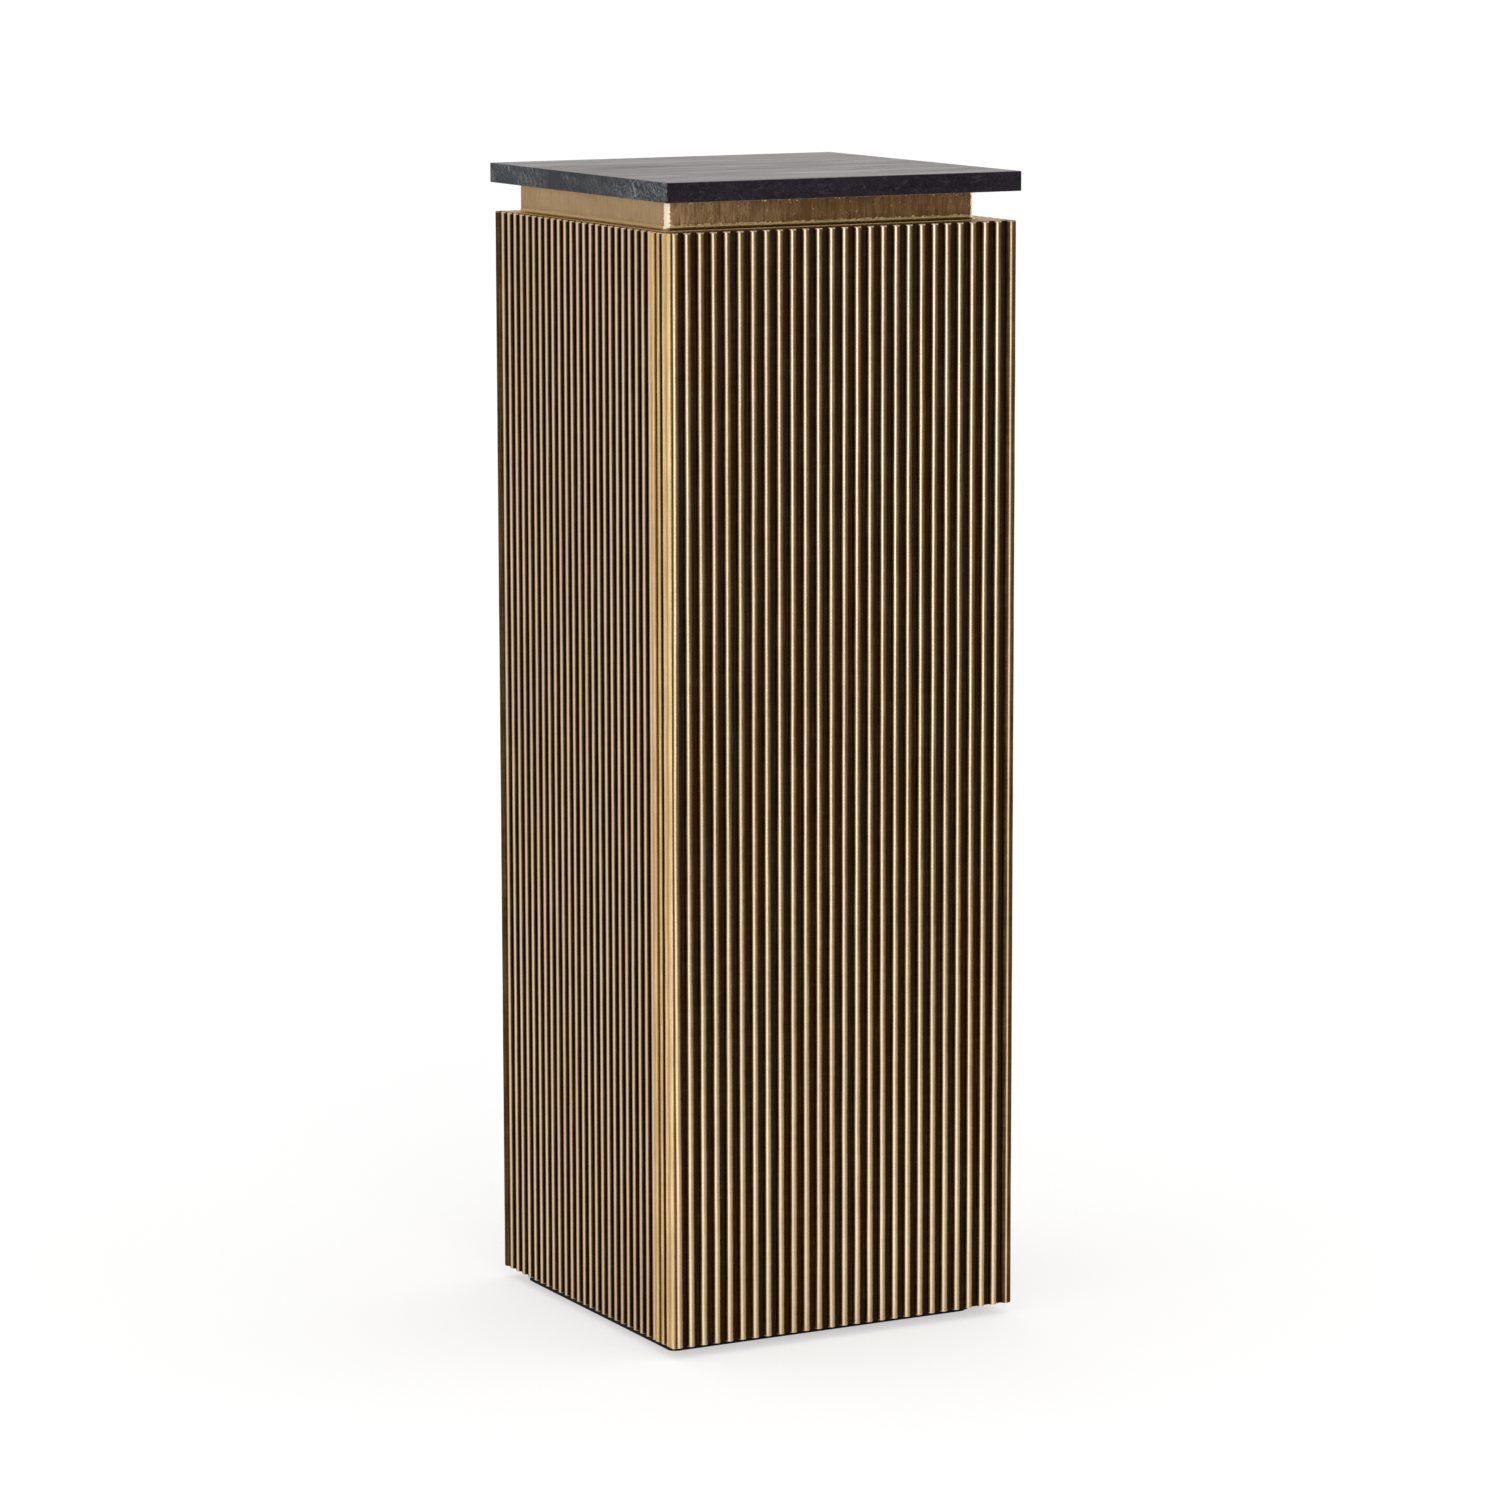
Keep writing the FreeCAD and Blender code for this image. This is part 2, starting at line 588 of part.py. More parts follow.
def frame_nail_places():
    """Up both edges of each upright board, into the batten behind it."""
    face = value(CORE_HALF)
    batten = value(INNER_HALF) - value(cell("batten_width")) / 2
    rows = int(value(cell("nail_rows")))
    margin = value(cell("nail_end_margin"))
    step = (value(BOARDS_HEIGHT) - 2 * margin) / max(1, rows - 1)
    places = []
    for row in range(rows):
        height = value(BOARDS_BOTTOM) + margin + row * step
        side_height = height + value(cell("nail_stagger"))
        for offset in (-batten, batten):
            places.append((Vector(offset, -face, height), Y_AXIS))
            places.append((Vector(offset, face, height), -Y_AXIS))
            places.append((Vector(-face, offset, side_height), X_AXIS))
            places.append((Vector(face, offset, side_height), -X_AXIS))
    return places


def block_nail_places(bottom):
    """Four nails that point up, in from the corners of the neck or the plinth."""
    inset = value(cell("block_nail_inset"))
    left = value(NECK_LEFT) + inset
    front = value(NECK_FRONT) + inset
    right = value(NECK_LEFT) + value(NECK_WIDTH) - inset
    back = value(NECK_FRONT) + value(NECK_DEPTH) - inset
    return [(Vector(x, y, value(bottom)), Z_AXIS) for x in (left, right) for y in (front, back)]


def nailed(label, base, holes):
    """A piece with the nail holes cut out of it."""
    before = base.Shape.Volume
    piece = doc.addObject("Part::Cut", label)
    piece.Label = label
    piece.Base = base
    piece.Tool = holes
    doc.recompute()
    if not piece.Shape.Volume < before:
        raise RuntimeError(f"{label} has no nail holes")
    return piece


# ------------------------------------------------------- core, ledge and foot


def make_upright_boards(holes):
    """Front and back boards the whole width, left and right boards between them."""
    thickness = cell("board_thickness")
    low = f"-{CORE_HALF}"
    far = f"({CORE_HALF} - {thickness})"
    boards = [
        ("front_board", CORE_WIDTH, thickness, low, low),
        ("back_board", CORE_WIDTH, thickness, low, far),
        ("left_board", thickness, INNER_WIDTH, low, f"-{INNER_HALF}"),
        ("right_board", thickness, INNER_WIDTH, far, f"-{INNER_HALF}"),
    ]
    pieces = []
    for label, width, depth, left, front in boards:
        blank = board(f"{label}_blank", width, depth, BOARDS_HEIGHT, left, front, BOARDS_BOTTOM)
        pieces.append(nailed(label, blank, holes))
    return pieces


def make_battens(holes):
    """A square batten up each inner corner of the core."""
    width = cell("batten_width")
    low = f"-{INNER_HALF}"
    high = f"({INNER_HALF} - {width})"
    corners = [
        ("batten_front_left", low, low),
        ("batten_front_right", high, low),
        ("batten_back_left", low, high),
        ("batten_back_right", high, high),
    ]
    pieces = []
    for label, left, front in corners:
        blank = board(f"{label}_blank", width, width, BOARDS_HEIGHT, left, front, BOARDS_BOTTOM)
        pieces.append(nailed(label, blank, holes))
    return pieces


def make_middle_board():
    """Stiffener half way up the core, notched round the battens."""
    low = f"-{INNER_HALF}"
    thickness = cell("middle_board_thickness")
    bottom = f"(({BOARDS_BOTTOM} + {BOARDS_TOP} - {thickness}) / 2)"
    body = board("middle_board", INNER_WIDTH, INNER_WIDTH, thickness, low, low, bottom)
    notch = "(sizes.batten_width + sizes.notch_clearance)"
    far = f"({INNER_WIDTH} - {notch})"
    corners = [("0", "0"), (far, "0"), ("0", far), (far, far)]
    for index, (left, front) in enumerate(corners):
        outline = sketch_on(body, "XY_Plane", f"notch_{index}_outline")
        draw_rectangle(outline, notch, notch, left, front)
        pocket(body, outline, f"notch_{index}", True)
    return body


def rounded_board(label, width, depth, height, left, front, bottom):
    """A board with the upright corners of the neck."""
    body = board(label, width, depth, height, left, front, bottom)
    dress(body, "Fillet", f"{label}_corners", body.Tip, is_upright, cell("neck_corner_radius"))
    return body


def make_end_boards(neck_holes, plinth_holes):
    """Ledge plate, the boards at both ends of the core, neck block and plinth."""
    low = f"-{CORE_HALF}"
    top = board("top_board_blank", CORE_WIDTH, CORE_WIDTH, cell("top_board_thickness"),
                low, low, BOARDS_TOP)
    ledge = board("ledge_plate_blank", CORE_WIDTH, CORE_WIDTH, cell("ledge_thickness"),
                  low, low, LEDGE_BOTTOM)
    block = board("neck_block_blank", BLOCK_WIDTH, BLOCK_DEPTH, BLOCK_HEIGHT,
                  BLOCK_LEFT, BLOCK_FRONT, BODY_TOP)
    bottom = board("bottom_board_blank", CORE_WIDTH, CORE_WIDTH, cell("bottom_board_thickness"),
                   low, low, BODY_BOTTOM)
    plinth = rounded_board("plinth_board_blank", NECK_WIDTH, NECK_DEPTH, cell("plinth_height"),
                           NECK_LEFT, NECK_FRONT, cell("mat_thickness"))
    return [
        nailed("top_board", top, neck_holes),
        nailed("ledge_plate", ledge, neck_holes),
        nailed("neck_block", block, neck_holes),
        nailed("bottom_board", bottom, plinth_holes),
        nailed("plinth_board", plinth, plinth_holes),
    ]


def make_mat():
    """Thin mat under the plinth, which is what stands on the floor."""
    margin = cell("mat_margin")
    return rounded_board("base_mat", f"({NECK_WIDTH} - 2 * {margin})",
                         f"({NECK_DEPTH} - 2 * {margin})", cell("mat_thickness"),
                         f"({NECK_LEFT} + {margin})", f"({NECK_FRONT} + {margin})", "0")


# ------------------------------------------------------- build, check, write

frame_nails, frame_holes = nail_group(
    "frame_nails", value(cell("nail_length")), frame_nail_places())
neck_nails, neck_holes = nail_group(
    "neck_nails", value(cell("nail_length")), block_nail_places(BOARDS_TOP))
plinth_nails, plinth_holes = nail_group(
    "plinth_nails", value(cell("plinth_nail_length")),
    block_nail_places(cell("mat_thickness")))

pieces = [make_slab(), make_adhesive()]
pieces += make_neck_sides()
pieces += make_plain_panels()
pieces += [make_left_panel()]
pieces += make_corner_beads()
pieces += make_upright_boards(frame_holes)
pieces += make_battens(frame_holes)
pieces += [make_middle_board()]
pieces += make_end_boards(neck_holes, plinth_holes)
pieces += [make_mat(), frame_nails, neck_nails, plinth_nails]
doc.recompute()

for item in doc.Objects:
    if "Invalid" in item.State or "Error" in item.State:
        raise RuntimeError(f"{item.Label} did not build: {item.State}")
for piece in pieces:
    if piece.Shape.isNull() or not piece.Shape.isValid():
        raise RuntimeError(f"{piece.Label} has no valid shape")

os.makedirs("parts", exist_ok=True)
for piece in pieces:
    piece.Shape.exportStep(f"parts/{piece.Label}.step")
    print(f"{piece.Label}: {len(piece.Shape.Solids)} solid, {piece.Shape.Volume / 1000:.1f} cm3")
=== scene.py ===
import bpy
import bmesh
import math
from mathutils import Matrix, Vector, noise


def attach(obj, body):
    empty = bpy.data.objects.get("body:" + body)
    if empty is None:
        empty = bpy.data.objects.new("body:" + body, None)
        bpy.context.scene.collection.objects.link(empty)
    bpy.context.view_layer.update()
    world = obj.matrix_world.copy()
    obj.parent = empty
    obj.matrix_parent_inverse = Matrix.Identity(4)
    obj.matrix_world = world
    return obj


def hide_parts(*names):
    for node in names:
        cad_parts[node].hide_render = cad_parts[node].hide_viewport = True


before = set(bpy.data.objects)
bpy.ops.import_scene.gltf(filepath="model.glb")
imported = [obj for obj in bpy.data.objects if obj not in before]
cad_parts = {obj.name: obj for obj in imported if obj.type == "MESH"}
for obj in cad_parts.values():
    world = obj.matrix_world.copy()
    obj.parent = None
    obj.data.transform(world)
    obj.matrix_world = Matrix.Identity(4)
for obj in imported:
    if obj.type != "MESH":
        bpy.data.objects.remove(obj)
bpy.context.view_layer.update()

# Display pedestal: a honed marble slab on a coved bronze neck, a column clad in half-round
# brass ribs, and a black plinth set in under it. The ribbed metal, the neck and the slab are
# finer meshes that take the place of their CAD nodes. Everything else keeps its CAD shape and
# gets a material here. The frame is the CAD's. Lengths are in mm and angles in degrees where
# no comment says otherwise, and colours are linear.

MM = 0.001

# ------------------------------------------------------------------ dimensions

HALF = 153.225            # from the axis to the crowns of the ribs
DEPTH = 5.0               # from the crowns in to the core
SHEET = 1.5               # thickness of the ribbed sheet
CORE = HALF - DEPTH
FACE_LENGTH = 2 * HALF
PITCH = 11.35
RIB_RADIUS = 3.5
FACE_RIBS = 25
BODY_LOW = 9.4
BODY_HIGH = 875.9
END_BEVEL = 1.2
SEAM_RIB = 18.7           # places along the left face from the near corner
SEAM_EDGE = 23.0
SEAM_START = 23.8
LAP_RIB = 28.1
LAP_RADIUS = 4.0
FIRST_RIB = 34.2
LAST_RIB = 291.45
SEAM_RIBS = 24
NECK = (-142.925, 128.625, -128.825, 128.825)      # left, right, front, back
NECK_CORNER = 6.5
NECK_WALL = 4.0
COVE = 3.2
COVE_LIP = 0.6
SLAB_LOW = 898.8
SLAB_HIGH = 914.4
SLAB_HALF = 154.975


# ------------------------------------------------------------------- materials

class Shader:
    """Builds one node material around a Principled BSDF.

    Every pattern lies in object coordinates, and its scale is per metre along X, Y and Z.
    """

    # sockets of a Mix node in colour mode: factor, first and second colour, and the result
    MIX_INPUTS = (0, 6, 7)
    MIX_RESULT = 2

    def __init__(self, name, **settings):
        self.material = bpy.data.materials.new(name)
        self.material.use_nodes = True
        self.tree = self.material.node_tree
        self.tree.nodes.clear()
        self.output = self.tree.nodes.new("ShaderNodeOutputMaterial")
        self.bsdf = self.tree.nodes.new("ShaderNodeBsdfPrincipled")
        self.tree.links.new(self.bsdf.outputs["BSDF"], self.output.inputs["Surface"])
        for key, setting in settings.items():
            self.set(self.bsdf, key.replace("_", " "), setting)

    def set(self, node, key, setting):
        """Give an input a constant, or link it to another node's output."""
        socket = node.inputs[key]
        if isinstance(setting, bpy.types.NodeSocket):
            self.tree.links.new(setting, socket)
            return
        if isinstance(setting, (tuple, list)) and len(setting) == 3 and socket.type == "RGBA":
            setting = (*setting, 1.0)
        socket.default_value = setting

    def coords(self, scale=(1.0, 1.0, 1.0), offset=(0.0, 0.0, 0.0), turn=(0.0, 0.0, 0.0),
               kind="POINT"):
        """Object coordinates, stretched first and then turned and moved."""
        source = self.tree.nodes.new("ShaderNodeTexCoord")
        mapping = self.tree.nodes.new("ShaderNodeMapping")
        mapping.vector_type = kind
        self.set(mapping, "Vector", source.outputs["Object"])
        self.set(mapping, "Scale", scale)
        self.set(mapping, "Location", offset)
        self.set(mapping, "Rotation", turn)
        return mapping.outputs["Vector"]

    def turned(self, scale, turn):
        """Object coordinates, turned first and then stretched along the turned axes."""
        return self.coords([1.0 / part for part in scale], turn=turn, kind="TEXTURE")

    def position(self):
        """The object's X, Y and Z in metres."""
        source = self.tree.nodes.new("ShaderNodeTexCoord")
        split = self.tree.nodes.new("ShaderNodeSeparateXYZ")
        self.set(split, 0, source.outputs["Object"])
        return split.outputs

    def noise(self, vector, detail, rough, twist=0.0):
        """Soft noise on coordinates that carry its scale."""
        node = self.tree.nodes.new("ShaderNodeTexNoise")
        self.set(node, "Vector", vector)
        self.set(node, "Scale", 1.0)
        self.set(node, "Detail", detail)
        self.set(node, "Roughness", rough)
        self.set(node, "Distortion", twist)
        return node.outputs["Fac"]

    def cells(self, scale):
        """Distance to the nearest cell's middle."""
        node = self.tree.nodes.new("ShaderNodeTexVoronoi")
        self.set(node, "Vector", self.coords())
        self.set(node, "Scale", scale)
        return node.outputs["Distance"]

    def attribute(self, name):
        node = self.tree.nodes.new("ShaderNodeAttribute")
        node.attribute_name = name
        return node.outputs["Fac"]

    def remap(self, fac, low, high, to_low=0.0, to_high=1.0, smooth=False):
        node = self.tree.nodes.new("ShaderNodeMapRange")
        node.interpolation_type = "SMOOTHSTEP" if smooth else "LINEAR"
        for key, setting in zip(("Value", "From Min", "From Max", "To Min", "To Max"),
                                (fac, low, high, to_low, to_high)):
            self.set(node, key, setting)
        return node.outputs["Result"]

    def math(self, operation, first, second=0.0):
        node = self.tree.nodes.new("ShaderNodeMath")
        node.operation = operation
        self.set(node, 0, first)
        self.set(node, 1, second)
        return node.outputs[0]

    def mix(self, fac, first, second, blend="MIX"):
        node = self.tree.nodes.new("ShaderNodeMix")
        node.data_type = "RGBA"
        node.blend_type = blend
        for index, setting in zip(self.MIX_INPUTS, (fac, first, second)):
            self.set(node, index, setting)
        return node.outputs[self.MIX_RESULT]

    def bump(self, height, strength, distance, under=None):
        """Normal of a relief, laid over another one where that is given. Distance in metres."""
        node = self.tree.nodes.new("ShaderNodeBump")
        self.set(node, "Strength", strength)
        self.set(node, "Distance", distance)
        self.set(node, "Height", height)
        if under is not None:
            self.set(node, "Normal", under)
        return node.outputs["Normal"]

    def finish(self, colour, rough, normal):
        self.set(self.bsdf, "Base Color", colour)
        self.set(self.bsdf, "Roughness", rough)
        self.set(self.bsdf, "Normal", normal)
        return self.material


def scaled(colour, factor):
    return tuple(factor * part for part in colour)


GROOVE_TONES = ((0.030, 0.0105, 0.003), (0.019, 0.0125, 0.0085))
BROWN_TONES = ((0.105, 0.060, 0.024), (0.150, 0.096, 0.045))
GILDED_BROWN = (0.150, 0.066, 0.010)
GOLD_TONE = (0.40, 0.290, 0.160)
GILDED_GOLD = (0.50, 0.315, 0.115)
GILT_TONES = ((0.66, 0.39, 0.130), (0.97, 0.75, 0.39))
DULL_TONE = (0.50, 0.36, 0.20)
SPECK_TONE = (0.24, 0.155, 0.075)
BRASS_TINTS = ((1.0, 0.91, 0.93), (0.98, 0.985, 0.90))
LOW_TO_MIDDLE = (0.12, 0.50)         # heights over which the polished tone turns, metres
MIDDLE_TO_HIGH = (0.50, 0.86)
GROOVE_TO_BROWN = (0.02, 0.30)       # wear over which one tone gives way to the next
BROWN_TO_GOLD = (0.33, 0.64)
GOLD_TO_BRIGHT = (0.66, 0.98)


def ribbed_brass(name, high, middle, low, grain=0.0, deep=1.0):
    """Antique brass, rubbed bright on the crowns and dark brown in the grooves.

    The mesh attribute of patina and sheen is 1 where the patina is polished off and where a
    highlight is painted on, and 0 in a groove, and "gilded" is 1 where the metal is a
    warmer gold. The polished metal has its own tone at the top of the column, at mid height
    and at the foot, brightest at the foot as a painted highlight. More grain makes it
    more specked, and a deep below 1 makes the grooves darker.
    """
    shader = Shader(name, Metallic=1.0, Specular_Tint=(0.86, 0.70, 0.52))
    wear_and_sheen = shader.attribute("wear_and_sheen")
    gilded = shader.attribute("gilded")
    streaks = shader.noise(shader.coords((420.0, 420.0, 22.0)), 4.0, 0.6)
    ripple = shader.noise(shader.coords((70.0, 70.0, 230.0)), 4.0, 0.7)
    patches = shader.noise(shader.coords((9.0, 9.0, 5.0)), 3.0, 0.6)
    hues = shader.noise(shader.coords((75.0, 75.0, 4.0), offset=(3.0, 1.0, 2.0)), 2.0, 0.5)
    specks = shader.noise(shader.coords((1500.0, 1500.0, 900.0)), 2.0, 0.6)
    wander = shader.math("ADD", shader.math("MULTIPLY", streaks, 0.26),
                         shader.math("MULTIPLY", ripple, 0.16))
    worn_and_sheen = shader.math("ADD", wear_and_sheen, shader.math("SUBTRACT", wander, 0.21))

    hue = shader.remap(hues, 0.38, 0.62)
    groove = shader.mix(hue, *(scaled(tone, deep) for tone in GROOVE_TONES))
    brown = shader.mix(shader.remap(streaks, 0.35, 0.70),
                       *(scaled(tone, deep) for tone in BROWN_TONES))
    brown = shader.mix(gilded, brown, GILDED_BROWN)
    gold = shader.mix(gilded, GOLD_TONE, GILDED_GOLD)

    # Painted highlight by height: the polished tone is brightest and yellowest at the foot, where
    # no lamp's highlight reaches, and whiter at the top.
    height = shader.position()[2]
    bright = shader.mix(shader.remap(height, *LOW_TO_MIDDLE), low, middle)
    bright = shader.mix(shader.remap(height, *MIDDLE_TO_HIGH), bright, high)
    gilt = shader.mix(shader.remap(streaks, 0.36, 0.66), *GILT_TONES)
    bright = shader.mix(gilded, bright, gilt)
    dull = shader.mix(0.40, bright, DULL_TONE)
    bright = shader.mix(shader.remap(patches, 0.35, 0.60), dull, bright)
    bright = shader.mix(1.0, bright, shader.mix(hue, *BRASS_TINTS), "MULTIPLY")
    bright = shader.mix(shader.remap(specks, 0.60, 0.82, 0.0, 0.28 + grain), bright, SPECK_TONE)

    colour = shader.mix(shader.remap(worn_and_sheen, *GROOVE_TO_BROWN, smooth=True), groove, brown)
    colour = shader.mix(shader.remap(worn_and_sheen, *BROWN_TO_GOLD, smooth=True), colour, gold)
    colour = shader.mix(shader.remap(worn_and_sheen, *GOLD_TO_BRIGHT, smooth=True), colour, bright)
    rough = shader.math("ADD", shader.remap(worn_and_sheen, 0.1, 0.9, 0.50, 0.24),
                        shader.remap(specks, 0.35, 0.75, 0.0, 0.12))
    normal = shader.bump(streaks, 0.16 + 0.4 * grain, 0.0006)
    normal = shader.bump(ripple, 0.12, 0.0010, normal)
    normal = shader.bump(specks, 0.10 + 0.6 * grain, 0.0002, normal)
    return shader.finish(colour, rough, normal)


COVE_FADE = (0.8785, 0.8797)         # heights of the neck's bands, metres
FOOT_FADE = (0.8797, 0.8822)
HEAD_FADE = (0.8962, 0.8990)
COVE_TONE = (0.54, 0.36, 0.15)
FLECK_TONE = (0.90, 0.68, 0.40)
# Pale metal of the flecks, and of the painted highlight round the neck's corners.
BARE_AND_SHEEN_TONE = (0.92, 0.76, 0.56)


def bronzed_brass(name, start, end, dark, streaky=0.5, axis=0, reach=(-0.14, 0.13)):
    """Brushed, lacquered bronze of the neck and the ledge.

    Its tone runs from start to end along one axis, over a reach in metres; on the neck's
    front and right side that run is painted shade. It is dark along its foot, and the
    lacquer is polished through to pale metal in flecks. Where the mesh attribute of polish
    and sheen says so, the pale metal is a painted highlight round the neck's corners.
    """
    shader = Shader(name, Metallic=1.0, Specular_Tint=(0.90, 0.78, 0.62))
    brushed = shader.noise(shader.coords((520.0, 520.0, 90.0)), 5.0, 0.75, 0.4)
    grain = shader.noise(shader.coords((700.0, 700.0, 500.0)), 3.0, 0.6)
    patches = shader.noise(shader.coords((26.0, 26.0, 60.0)), 4.0, 0.6)
    spots = shader.noise(shader.coords((430.0, 430.0, 520.0)), 4.0, 0.75)
    bands = shader.noise(shader.coords((330.0, 330.0, 26.0)), 4.0, 0.7)
    position = shader.position()
    wander = shader.remap(spots, 0.3, 0.7, -0.0011, 0.0011)
    height = shader.math("ADD", position[2], wander)
    cove = shader.remap(height, *COVE_FADE, 1.0, 0.0, smooth=True)
    foot = shader.remap(height, *FOOT_FADE, 1.0, 0.0, smooth=True)
    head = shader.remap(height, *HEAD_FADE)

    # The run of tone along one axis is painted shade on the neck's front and right side.
    tone = shader.mix(shader.remap(position[axis], *reach), start, end)
    tone = shader.mix(shader.remap(patches, 0.35, 0.68, 0.35, 0.0), tone, dark)
    tone = shader.mix(shader.remap(brushed, 0.46, 0.66, 0.0, streaky), tone, dark)
    tone = shader.mix(shader.remap(bands, 0.44, 0.62, 0.0, 0.8 * streaky), tone, dark)
    edges = shader.math("MAXIMUM", shader.math("MULTIPLY", foot, 0.9), head)
    flecks = shader.remap(shader.math("ADD", spots, shader.math("MULTIPLY", edges, 0.20)),
                          0.64, 0.70, 0.0, streaky)
    tone = shader.mix(flecks, tone, shader.mix(0.75, tone, FLECK_TONE))
    tone = shader.mix(shader.math("MULTIPLY", foot, 0.45), tone, dark)
    tone = shader.mix(shader.math("MULTIPLY", cove, 0.60), tone, COVE_TONE)
    # Pale flecks from the noise, and the painted highlight round the corners from the mesh
    # attribute.
    worn_and_sheen = shader.math("ADD", shader.attribute("wear_and_sheen"),
                       shader.remap(spots, 0.3, 0.7, -0.42, 0.42))
    colour = shader.mix(shader.remap(worn_and_sheen, 0.42, 0.80, smooth=True), tone, BARE_AND_SHEEN_TONE)
    rough = shader.remap(grain, 0.3, 0.75, 0.28, 0.44)
    normal = shader.bump(brushed, 0.45, 0.0005)
    normal = shader.bump(spots, 0.35, 0.0008, normal)
    normal = shader.bump(grain, 0.22, 0.0003, normal)
    return shader.finish(colour, rough, normal)


VEIN_WIDTH = 0.020
VEIN_TONE = (0.36, 0.38, 0.41)
KNOCKED_END = (-0.155, -0.060)       # the near end of the slab along Y, metres


def black_marble(name, low, high, shine, veined, streaked, level):
    """Black marble with long saw streaks, veins and pale scratches.

    The ground runs from low to high in clouds, and shine is its least roughness.
    """
    shader = Shader(name, IOR=1.5, Specular_IOR_Level=level)
    clouds = shader.noise(shader.coords((9.0, 9.0, 30.0)), 5.0, 0.6, 0.4)
    saw = shader.noise(shader.coords((12.0, 260.0, 60.0), turn=(0.0, 0.0, 0.06)), 6.0, 0.75)
    sweep = shader.noise(shader.coords((5.0, 52.0, 20.0), turn=(0.0, 0.0, 0.08)), 5.0, 0.65, 0.3)
    grain = shader.noise(shader.coords((1300.0, 1300.0, 1300.0)), 2.0, 0.6)
    warp = shader.noise(shader.coords((70.0, 70.0, 120.0)), 6.0, 0.75, 1.8)
    vein = shader.math("ABSOLUTE", shader.math("SUBTRACT", warp, 0.5))
    vein = shader.remap(vein, 0.0, VEIN_WIDTH, 1.0, 0.0)
    slanted = shader.noise(shader.turned((90.0, 70.0, 420.0), (0.95, 0.0, 0.0)), 5.0, 0.7, 0.9)
    upright = shader.noise(shader.turned((90.0, 420.0, 110.0), (-0.35, 0.0, 0.0)), 5.0, 0.7, 0.9)
    scratch = shader.math("MAXIMUM", shader.remap(slanted, 0.56, 0.64),
                          shader.remap(upright, 0.61, 0.68))
    # the near corner is the most knocked about
    knocked = shader.remap(shader.position()[1], *KNOCKED_END, 0.30, 0.0)
    where = shader.remap(shader.math("ADD", clouds, knocked), 0.38, 0.62, smooth=True)
    veins = shader.math("MULTIPLY", shader.math("MAXIMUM", vein, scratch), where)
    saws = shader.remap(saw, 0.38, 0.66)
    sweeps = shader.remap(sweep, 0.36, 0.66)

    ground = shader.mix(shader.remap(clouds, 0.3, 0.7), low, high)
    ground = shader.mix(shader.math("MULTIPLY", saws, 0.55), ground, scaled(high, 2.0))
    colour = shader.mix(shader.math("MULTIPLY", veins, veined), ground, VEIN_TONE)
    dulled = shader.math("ADD", shader.math("MULTIPLY", saws, streaked),
                         shader.math("MULTIPLY", sweeps, 0.4 * streaked))
    rough = shader.math("ADD", shader.remap(grain, 0.3, 0.7, shine, shine + 0.06), dulled)
    normal = shader.bump(grain, 0.10, 0.0002)
    normal = shader.bump(saw, 0.05, 0.0003, normal)
    normal = shader.bump(veins, 0.4 * veined, 0.0003, normal)
    return shader.finish(colour, rough, normal)


def pressed_board(name):
    """Fibreboard: fine mottled fibres, pale brown."""
    shader = Shader(name, Metallic=0.0)
    fibres = shader.noise(shader.coords((700.0, 700.0, 700.0)), 5.0, 0.7, 0.5)
    patches = shader.noise(shader.coords((14.0, 14.0, 14.0)), 3.0, 0.5)
    tone = shader.mix(patches, (0.30, 0.19, 0.105), (0.40, 0.27, 0.155))
    colour = shader.mix(shader.remap(fibres, 0.4, 0.75, 0.0, 0.6), tone, (0.16, 0.095, 0.05))
    rough = shader.remap(fibres, 0.3, 0.7, 0.72, 0.92)
    return shader.finish(colour, rough, shader.bump(fibres, 0.25, 0.0003))


def sawn_pine(name):
    """Pine batten with its grain along Z."""
    shader = Shader(name, Metallic=0.0)
    grain = shader.noise(shader.coords((260.0, 260.0, 7.0)), 4.0, 0.6, 0.8)
    saw = shader.noise(shader.coords((40.0, 40.0, 620.0)), 2.0, 0.5)
    colour = shader.mix(shader.remap(grain, 0.35, 0.68), (0.64, 0.45, 0.24), (0.42, 0.25, 0.11))
    rough = shader.remap(grain, 0.3, 0.7, 0.60, 0.80)
    normal = shader.bump(grain, 0.3, 0.0004)
    return shader.finish(colour, rough, shader.bump(saw, 0.2, 0.0003, normal))


def black_paint(name):
    """Brushed matt black paint on wood, with a few grey scuffs."""
    shader = Shader(name, Metallic=0.0, Specular_IOR_Level=0.12)
    brush = shader.noise(shader.coords((60.0, 60.0, 900.0)), 4.0, 0.6)
    scuffs = shader.noise(shader.coords((150.0, 150.0, 150.0)), 5.0, 0.75)
    colour = shader.mix(shader.remap(scuffs, 0.60, 0.80, 0.0, 0.5), (0.007, 0.0065, 0.006),
                        (0.035, 0.032, 0.030))
    rough = shader.remap(scuffs, 0.3, 0.8, 0.60, 0.85)
    return shader.finish(colour, rough, shader.bump(brush, 0.2, 0.0003))


def mat_rubber(name):
    """Dark foam rubber with small open cells."""
    shader = Shader(name, Metallic=0.0, Specular_IOR_Level=0.15)
    pores = shader.cells(900.0)
    dust = shader.noise(shader.coords((30.0, 30.0, 30.0)), 4.0, 0.6)
    colour = shader.mix(shader.remap(dust, 0.4, 0.75), (0.010, 0.010, 0.011),
                        (0.030, 0.029, 0.028))
    rough = shader.remap(pores, 0.0, 0.6, 0.70, 0.95)
    return shader.finish(colour, rough, shader.bump(pores, 0.5, 0.0005))


